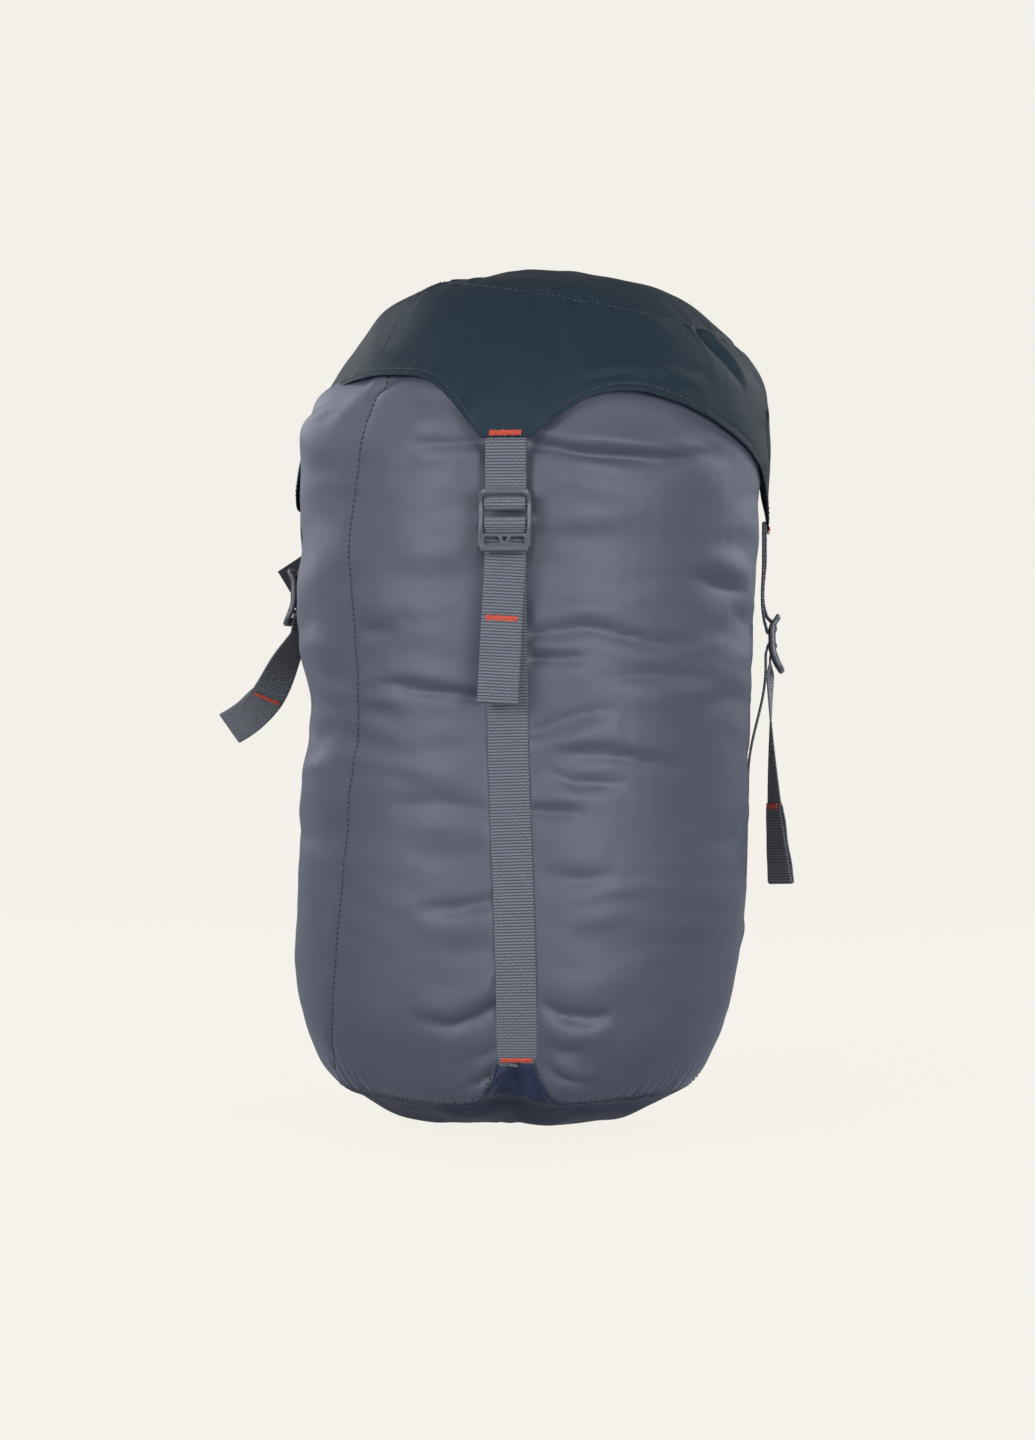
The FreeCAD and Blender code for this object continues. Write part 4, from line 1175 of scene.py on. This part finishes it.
class Strap:
    """One strap's own frame: x along the buckle's bars, r outwards, z up, from the buckle's axis."""

    def __init__(self, name):
        self.name = name
        (self.axis_z, self.tip_z, self.axis_r, self.run, self.lean, self.heading, self.side, self.twist) = STRAPS[name]
        self.angle = STRAP_ANGLE[name]
        a = math.radians(self.angle)
        self.out = np.array([math.sin(a), -math.cos(a), 0])
        self.x = np.array([math.cos(a), math.sin(a), 0])
        self.up = np.array([0, 0, 1.0])

    def point(self, r, z, x=0.0):
        r, z, x = np.broadcast_arrays(*(np.asarray(v, float) for v in (r, z, x)))
        return (
            self.out * (self.axis_r + r[..., None]) + self.x * x[..., None] + self.up * (self.axis_z + z[..., None])
        )

    def tail_at(self, distance, lift=0.0):
        """Point, direction along and direction across of the tail, at a distance from its pivot."""
        length = self.run + TAIL_FOLD + TAIL_GAP
        start, end = (math.radians(a) for a in self.heading)
        share = distance / length
        heading = start + (end - start) * share
        side = math.radians(self.side)
        outward = np.array([math.sin(side), -math.cos(side), 0])
        if abs(end - start) > 1e-6:
            radius = length / (end - start)
            away = radius * (math.cos(start) - math.cos(heading))
            down = radius * (math.sin(heading) - math.sin(start))
        else:
            away = 0.0
            down = distance
        along = outward * math.sin(heading) - self.up * math.cos(heading)
        bend_axis = np.cross(outward, self.up)
        across = turned_about(np.array([1.0, 0, 0]), bend_axis, -math.degrees(heading))
        across = turned_about(across, along, self.twist[0] + (self.twist[1] - self.twist[0]) * share)
        across -= along * across.dot(along)
        across /= np.linalg.norm(across)
        face = np.cross(across, along)
        point = outward * away - self.up * down + face * lift
        local = [turned_about(v, (0, 1, 0), self.lean) for v in (point, along, across)]
        local[0] = local[0] + np.array([0, -PIVOT[0], PIVOT[1]])
        point, along, across = (turned_about(v, (0, 0, 1), self.angle) for v in local)
        return point + self.out * self.axis_r + self.up * self.axis_z, along, across

    def tail_path(self, distances, lifts):
        stations = [self.tail_at(d, l) for d, l in zip(distances, np.broadcast_to(lifts, len(distances)))]
        points, along, across = (np.array(c) for c in zip(*stations))
        return points, across, np.cross(across, along)


def curve_through(points, count):
    """Smooth path through a few points."""
    points = np.asarray(points, float)
    length = np.concatenate([[0], np.cumsum(np.linalg.norm(np.diff(points, axis=0), axis=1))])
    fine = np.linspace(0, length[-1], count)
    tangent = np.gradient(points, length, axis=0)
    i = np.clip(np.searchsorted(length, fine, side="right") - 1, 0, len(length) - 2)
    h = (length[i + 1] - length[i])[:, None]
    t = (fine - length[i])[:, None] / h
    return (
        points[i] * (2 * t**3 - 3 * t**2 + 1)
        + h * tangent[i] * (t**3 - 2 * t**2 + t)
        + points[i + 1] * (3 * t**2 - 2 * t**3)
        + h * tangent[i + 1] * (t**3 - t**2)
    )


def arc(centre_r, centre_z, radius, angles):
    a = np.radians(angles)
    return np.stack([centre_r + radius * np.cos(a), centre_z + radius * np.sin(a)], 1)


def build_strap(name):
    strap = Strap(name)
    # the loaded strap, from its foot to below the buckle
    top = strap.axis_z - 40
    heights = np.concatenate([[42.8, 44.8, 46.8], np.linspace(49, top, 60)])
    s = BODY.s_at_z(heights)
    angle = strap.angle + strap_drift(name, heights)
    out = 0.95 - 1.3 * step01(heights, 46.6, 42.6)
    on_body = body_point(angle, s, out)
    target = strap.point(REAR_LAY, heights - strap.axis_z)
    leave = step01(heights, top - 40, strap.axis_z - 20)[:, None] ** 1.2
    lower = on_body * (1 - leave) + target * leave
    sideways = np.stack([np.cos(np.radians(angle)), np.sin(np.radians(angle)), 0 * angle], 1)
    piece, walked = ribbon(name + "_webbing_lower", lower, sideways)
    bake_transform(piece)
    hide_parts(name + "_strap")

    # behind the buckle
    rear_z = np.linspace(top, strap.axis_z - 14, 20)
    leave = step01(rear_z, top - 40, strap.axis_z - 20)[:, None] ** 1.2
    rear_angle = strap.angle + strap_drift(name, rear_z)
    rear = body_point(rear_angle, BODY.s_at_z(rear_z), 0.95) * (1 - leave)
    rear += strap.point(REAR_LAY, rear_z - strap.axis_z) * leave
    across = np.tile(strap.x, (len(rear), 1))
    piece, walked = ribbon(name + "_webbing_rear", rear, across, walked)
    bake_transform(piece)

    # round the lower bar and down to the start of the tail
    turn = arc(0.3, -9.0, 2.1, (165, 145, 125, 105, 90, 75, 55, 35, 15, -5, -25))
    flat = np.concatenate([[(REAR_LAY, -14.2), (-2.7, -12.2), (-2.15, -10.4)], turn, [(-0.1, -13.4), (-0.5, -16.5)]])
    path = strap.point(flat[:, 0], flat[:, 1])
    if strap.heading[0]:
        path = np.concatenate([path, strap.point([-0.5], [-20.5])])
    else:
        path = np.concatenate([path, strap.point([-0.5, -0.5], [-19.5, -22.5])])
    tail_start, _, tail_across = strap.tail_at(TAIL_GAP)
    pivot = strap.point(*PIVOT)
    path = curve_through(np.concatenate([path, [pivot, tail_start]]), 120)
    share = step01(np.linspace(0, 1, 120), 0.62, 1.0)[:, None]
    across = strap.x * (1 - share) + tail_across * share
    piece, walked = ribbon(name + "_webbing_turn", path, across, walked)
    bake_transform(piece)
    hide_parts(name + "_strap_bight")

    # the single layer of the tail
    fold_start = TAIL_GAP + strap.run
    run_share = np.linspace(0, 1, 60)
    bow = -TAIL_BOW * np.sin(np.pi * run_share) if strap.heading[0] else 0
    path, across, _ = strap.tail_path(TAIL_GAP + run_share * (strap.run + 0.4), bow)
    piece, walked = ribbon(name + "_tail_run", path, across, walked)
    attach(piece, name + "_hanging_web")
    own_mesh(piece)
    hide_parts(name + "_tail")

    # the folded end
    down = np.linspace(fold_start + 0.2, fold_start + TAIL_FOLD - 1.2, 90)
    front_lift = 0.68 * step01(down, fold_start, fold_start + 4) + 0.35 * np.sin((down - fold_start) / 5.5) ** 2 * 0.4
    outer, across_out, face = strap.tail_path(down, front_lift)
    bend = np.linspace(75, -75, 9)
    lifts = 0.68 * np.sin(np.radians(bend))
    reach = fold_start + TAIL_FOLD - 1.2 + 1.0 * np.cos(np.radians(bend))
    hook, across_hook, _ = strap.tail_path(reach, lifts)
    back_up = down[::-1][:-4]
    inner_lift = -0.68 - 0.5 * np.sin((back_up - fold_start) / 7) ** 2 * step01(back_up, fold_start, fold_start + 9)
    inner, across_in, _ = strap.tail_path(back_up, inner_lift)
    path = np.concatenate([outer, hook, inner])
    across = np.concatenate([across_out, across_hook, across_in])
    piece, _ = ribbon(name + "_tail_fold", path, across, walked)
    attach(piece, name + "_folded_end")
    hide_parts(name + "_tail_end")

    # bar tack through the folded end
    at = fold_start + 2.6
    middle, along, across = strap.tail_at(at)
    face = np.cross(across, along)
    if face.dot(strap.out) < 0:
        face = -face
    parts = bartack(middle + face * 1.15, across, -along, face, 15.5, 2.9)
    parts += bartack(middle - face * 1.15, across, -along, -face, 15.5, 2.9)
    tack = joined(name + "_tail_stitching", parts, BARTACK_THREAD)
    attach(tack, name + "_folded_end")
    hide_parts(name + "_tail_bartack")

    # the short loop that holds the buckle under the lid's point
    high = strap.tip_z + 6 - strap.axis_z
    wrap = arc(0, 0, 2.45, (37, 20, 2, -16, -34, -52, -70, -88, -106, -123, -140, -154, -167))
    front = [(-3.0, high), (-3.0, high * 0.6 + 3.2), (-3.0, 9.0), (-2.1, 6.5), (-0.2, 4.4), (1.15, 2.9)]
    back = [(-2.85, 1.6), (-3.5, 3.9), (-4.2, 8.0), (-4.2, high * 0.6 + 3.2), (-4.2, high)]
    flat = curve_through(np.concatenate([front, wrap, back]), 200)
    piece, _ = ribbon(name + "_tab_loop", strap.point(flat[:, 0], flat[:, 1]), np.tile(strap.x, (200, 1)))
    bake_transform(piece)
    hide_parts(name + "_tab")
    return strap


straps = [build_strap(name) for name in STRAPS]

tip_parts = []
foot_parts = []
for strap in straps:
    centre = strap.point(LID_LAY + 0.1, strap.tip_z + 1.9 - strap.axis_z)
    tip_parts += bartack(centre, strap.x, strap.up, strap.out, 15.6, 2.9)

    heights = np.array([46.9])
    s = BODY.s_at_z(heights)
    foot_angle = strap.angle + strap_drift(strap.name, heights)
    point = body_point(foot_angle, s, 1.55)[0]
    above = body_point(strap.angle + strap_drift(strap.name, heights + 2), BODY.s_at_z(heights + 2), 1.55)[0]
    up = above - point
    up /= np.linalg.norm(up)
    a = math.radians(float(foot_angle[0]))
    across = np.array([math.cos(a), math.sin(a), 0])
    across -= up * across.dot(up)
    normal = np.cross(across, up)
    foot_parts += bartack(point, across, up, normal, 15.5, 2.5)
tip_tacks = joined("lid_point_stitching", tip_parts, BARTACK_THREAD)
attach(tip_tacks, "lid")
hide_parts("lid_bartacks")
foot_tacks = joined("strap_foot_stitching", foot_parts, BARTACK_THREAD)
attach(foot_tacks, "sack")
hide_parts("base_bartacks")

# ---------------------------------------------------------------- stitched seams

STITCH_PITCH = 2.9


def wall_line(angles, s):
    return surface_at(wall_points, wall_theta, wall_s, angles, s)


def lid_line(angles, s):
    return surface_at(lid_points, lid_theta, lid_s, angles, s)


seam_heights = np.linspace(36, 396, 260)
side_line = wall_line(smooth(seam_heights, SEAM_ANGLE) + 0.25, BODY.s_at_z(seam_heights))
side_stitches = dashes("side_seam_stitches", [side_line], STITCH_PITCH, 2.0, 0.36, SEAM_THREAD, "sack", 0.28)

round_angles = np.linspace(-180, 180, 721)
round_s = BODY.s_at_z(base_seam_z(round_angles)) + 1.7
base_stitches = dashes(
    "base_seam_stitches", [wall_line(round_angles, round_s)], STITCH_PITCH, 2.0, 0.38, SEAM_THREAD, "sack", 0.3,
)

hem_s = LID.s_at_z(lid_edge_z(round_angles)) + HEM
hem_line = lid_line(round_angles, hem_s)
round_top = LID.s_at_z(top_seam_z(round_angles))
top_line = lid_line(round_angles, round_top - 1.6)
seam_share = np.linspace(0, 1, 60)
seam_turn = -47.5 - 3.5 * seam_share
seam_from = LID.s_at_z(lid_edge_z(seam_turn)) + 1
seam_to = LID.s_at_z(top_seam_z(seam_turn)) - 2
lid_side_line = lid_line(seam_turn, seam_from + (seam_to - seam_from) * seam_share)
lid_stitches = dashes(
    "lid_stitches", [hem_line, top_line, lid_side_line], STITCH_PITCH, 2.0, 0.3, LID_THREAD, "lid", 0.12,
)

# ---------------------------------------------------------------- buckles

BUCKLE_SIDE = [
    (-23.2, 5.9), (-21, 4.9), (-18, 3.2), (-15, 2.0), (-12.5, 1.1), (-9, 0.5), (0, 0.4), (3, 1.2), (5.5, 3.0),
    (8, 4.2),
]


def buckle_master():
    """A moulded ladder-lock buckle in its own frame: x along the bars, y inwards, z up, from the upper bar."""
    def bar(points, wide, deep):
        points = np.array(points, float)
        if len(points) == 2:
            points = points[0] + (points[1] - points[0]) * np.linspace(0, 1, 25)[:, None]
        spine = np.stack([points[:, 0], -smooth(points[:, 1], BUCKLE_SIDE), points[:, 1]], 1)
        return tube(spine, np.tile((0, -1.0, 0), (len(spine), 1)), wide, 20, deep)

    half, low, high, corner = 11.8, -21.7, 6.1, 3.6
    loop = []
    for x, z, first in (
        (half - corner, high - corner, 90), (half - corner, low + corner, 0),
        (-half + corner, low + corner, -90), (-half + corner, high - corner, -180),
    ):
        for turn in np.linspace(0, -90, 10):
            a = math.radians(first + turn)
            loop.append((x + corner * math.cos(a), z + corner * math.sin(a)))
    dense = []
    for (x0, z0), (x1, z1) in zip(loop, loop[1:] + loop[:1]):
        count = max(1, int(math.hypot(x1 - x0, z1 - z0)))
        dense += [(x0 + (x1 - x0) * k / count, z0 + (z1 - z0) * k / count) for k in range(count)]
    dense += dense[:3]
    z = np.array(dense)[:, 1]
    wide = 1.4 + 0.55 * step01(z, 2.6, 5.6) + 0.35 * step01(z, -18, -21)
    deep = 1.7 - 0.25 * step01(z, 2.6, 5.6) - 0.15 * step01(z, -17, -21)
    parts = [bar(dense, wide, deep)]
    for height, out, radius in ((0.0, 0.0, 1.5), (-9.0, 0.3, 1.2)):
        spine = np.array([(x, -out, height) for x in np.linspace(-11.6, 11.6, 20)])
        parts.append(tube(spine, np.tile((0, -1.0, 0), (20, 1)), radius, 20))
    parts.append(bar([(-11.6, -15.3), (11.6, -15.3)], 1.0, 1.25))
    parts.append(bar([(-11.6, -22.1), (11.6, -22.1)], 1.5, 1.35))
    for side in (-1, 1):
        parts.append(bar([(side * 10.6, -14.6), (side * 10.6, -22)], 1.3, 1.4))
        parts.append(bar([(side * 9.6, -20.9), (side * 0.3, -19.3)], 1.15, 1.25))
        parts.append(bar([(side * 2.7, -15.4), (side * 0.4, -19.6)], 0.95, 1.2))
    master = joined("buckle_master", parts, BUCKLE_PLASTIC)
    merge = master.modifiers.new("merge", "REMESH")
    merge.mode = "VOXEL"
    merge.voxel_size = 0.26 * MM
    soften = master.modifiers.new("soften", "SMOOTH")
    soften.factor = 0.5
    soften.iterations = 5
    graph = bpy.context.evaluated_depsgraph_get()
    mesh = bpy.data.meshes.new_from_object(master.evaluated_get(graph))
    points = read_points(mesh) / MM
    faces = [tuple(face.vertices) for face in mesh.polygons]
    bpy.data.objects.remove(master)
    return points, faces


buckle_points, buckle_faces = buckle_master()
for strap in straps:
    placed = strap.point(-buckle_points[:, 1], buckle_points[:, 2], buckle_points[:, 0])
    piece = mesh_from(strap.name + "_ladder_lock", placed, buckle_faces, BUCKLE_PLASTIC)
    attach(piece, strap.name + "_lock")
    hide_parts(strap.name + "_buckle")

# ---------------------------------------------------------------- kept CAD parts

LOOKS = {
    "cord_channel": WALL_CLOTH,
    "drawcord": CORD,
    "cord_lock_barrel": LOCK_PLASTIC,
    "cord_lock_plunger": LOCK_PLASTIC,
    "hang_tag": CARD,
    "tag_string": CORD,
}
for name, material in LOOKS.items():
    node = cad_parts[name]
    node.data.materials.clear()
    node.data.materials.append(material)
    if name in ("cord_lock_barrel", "cord_lock_plunger"):
        round_off = node.modifiers.new("edges", "BEVEL")
        round_off.width = 0.45 * MM
        round_off.segments = 3
        round_off.limit_method = "ANGLE"
        round_off.angle_limit = math.radians(35)
        round_off.harden_normals = False

# the lock's spring, which shortens as the plunger is pressed, is copied into a mesh of its own
spring_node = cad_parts["cord_lock_spring"]
spring_points = read_points(spring_node.data) @ np.array(spring_node.matrix_world)[:3, :3].T
spring_points = (spring_points + np.array(spring_node.matrix_world)[:3, 3]) / MM
spring_faces = [tuple(face.vertices) for face in spring_node.data.polygons]
spring = mesh_from("lock_spring", spring_points, spring_faces, STEEL)
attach(spring, "cord_lock")
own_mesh(spring)
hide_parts("cord_lock_spring")

# ---------------------------------------------------------------- stage, light and camera

BACKDROP = srgb(245, 242, 235)


FILL = 0.36                     # share of the backdrop's brightness that lights the object


def seen_and_lit(m, strength_entry):
    """The backdrop is bright to the camera and much dimmer as a light."""
    path = m.add("ShaderNodeLightPath")
    strength = m.value("ADD", m.value("MULTIPLY", (path, "Is Camera Ray"), 1 - FILL), FILL)
    m.link(strength[0], strength[1], strength_entry, "Strength")


def backdrop_material():
    m = Nodes("backdrop")
    m.shader.inputs["Base Color"].default_value = (*BACKDROP, 1)
    m.shader.inputs["Roughness"].default_value = 1
    m.shader.inputs["Specular IOR Level"].default_value = 0
    glow = m.add("ShaderNodeEmission")
    glow.inputs["Color"].default_value = (*BACKDROP, 1)
    seen_and_lit(m, glow)
    blend = m.add("ShaderNodeMixShader")
    blend.inputs[0].default_value = 0.96
    m.link(m.shader, "BSDF", blend, 1)
    m.link(glow, "Emission", blend, 2)
    m.link(blend, "Shader", m.out, "Surface")
    return m.material


def sweep(name, profile, half, material):
    """A floor that curves up into a backdrop. profile is (y, z) in metres."""
    verts = [(x, y, z) for y, z in profile for x in (-half, half)]
    faces = [(2 * i, 2 * i + 1, 2 * i + 3, 2 * i + 2) for i in range(len(profile) - 1)]
    mesh = bpy.data.meshes.new(name)
    mesh.from_pydata(verts, [], faces)
    mesh.polygons.foreach_set("use_smooth", [True] * len(faces))
    mesh.materials.append(material)
    piece = bpy.data.objects.new(name, mesh)
    bpy.context.scene.collection.objects.link(piece)
    return piece


profile = [(-6.0, 0.0), (1.6, 0.0)]
profile += [(1.6 + 1.2 * math.sin(a), 1.2 - 1.2 * math.cos(a)) for a in np.linspace(0.1, math.pi / 2, 14)]
profile += [(2.8, 6.0)]
backdrop = sweep("backdrop", profile, 6.0, backdrop_material())


def area_light(name, place_m, target_m, size, power, colour=(1, 1, 1)):
    light = bpy.data.lights.new(name, "AREA")
    light.shape = "RECTANGLE"
    light.size, light.size_y = size
    light.energy = power
    light.color = colour
    piece = bpy.data.objects.new(name, light)
    piece.location = place_m
    direction = Vector(target_m) - Vector(place_m)
    piece.rotation_euler = direction.to_track_quat("-Z", "Y").to_euler()
    bpy.context.scene.collection.objects.link(piece)
    return piece


area_light("left_window", (-1.2, -1.45, 0.8), (0, 0, 0.18), (0.8, 0.8), 28, (0.95, 0.97, 1.0))
area_light("right_window", (1.15, -1.5, 0.5), (0, 0, 0.18), (0.7, 0.8), 24, (0.98, 0.98, 1.0))
area_light("top_soft", (0.0, -0.5, 2.0), (0, 0, 0.3), (1.0, 1.0), 5, (1.0, 0.99, 0.97))
area_light("front_low", (0.25, -1.9, 0.12), (0, 0, 0.1), (1.2, 0.5), 10, (0.97, 0.98, 1.0))
area_light("right_rear", (1.3, 0.9, 1.0), (0, 0, 0.22), (0.9, 0.9), 12, (0.95, 0.97, 1.0))
area_light("left_rear", (-1.3, 0.9, 1.0), (0, 0, 0.22), (0.9, 0.9), 12, (0.95, 0.97, 1.0))

scene = bpy.context.scene
world = scene.world or bpy.data.worlds.new("world")
scene.world = world
world.use_nodes = True
sky = world.node_tree
sky_light = sky.nodes["Background"]
sky_light.inputs["Color"].default_value = (*BACKDROP, 1)
sky_path = sky.nodes.new("ShaderNodeLightPath")
sky_strength = sky.nodes.new("ShaderNodeMapRange")
sky_strength.inputs["To Min"].default_value = 0.28
sky_strength.inputs["To Max"].default_value = 1.0
sky.links.new(sky_path.outputs["Is Camera Ray"], sky_strength.inputs["Value"])
sky.links.new(sky_strength.outputs[0], sky_light.inputs["Strength"])
scene.view_settings.view_transform = "Standard"

CAMERA_TURN = math.radians(4.5)
CAMERA_DISTANCE = 1.300
CAMERA_SIDE = -0.00404
CAMERA_HEIGHT = 0.2166
camera_data = bpy.data.cameras.new("camera")
camera_data.lens = 60.3
camera_data.sensor_width = 36
camera_data.clip_end = 30
camera = bpy.data.objects.new("camera", camera_data)
toward = Vector((-math.sin(CAMERA_TURN), math.cos(CAMERA_TURN), 0))
right = Vector((math.cos(CAMERA_TURN), math.sin(CAMERA_TURN), 0))
camera.location = -toward * CAMERA_DISTANCE + right * CAMERA_SIDE + Vector((0, 0, CAMERA_HEIGHT))
camera.rotation_euler = toward.to_track_quat("-Z", "Y").to_euler()
scene.collection.objects.link(camera)
scene.camera = camera
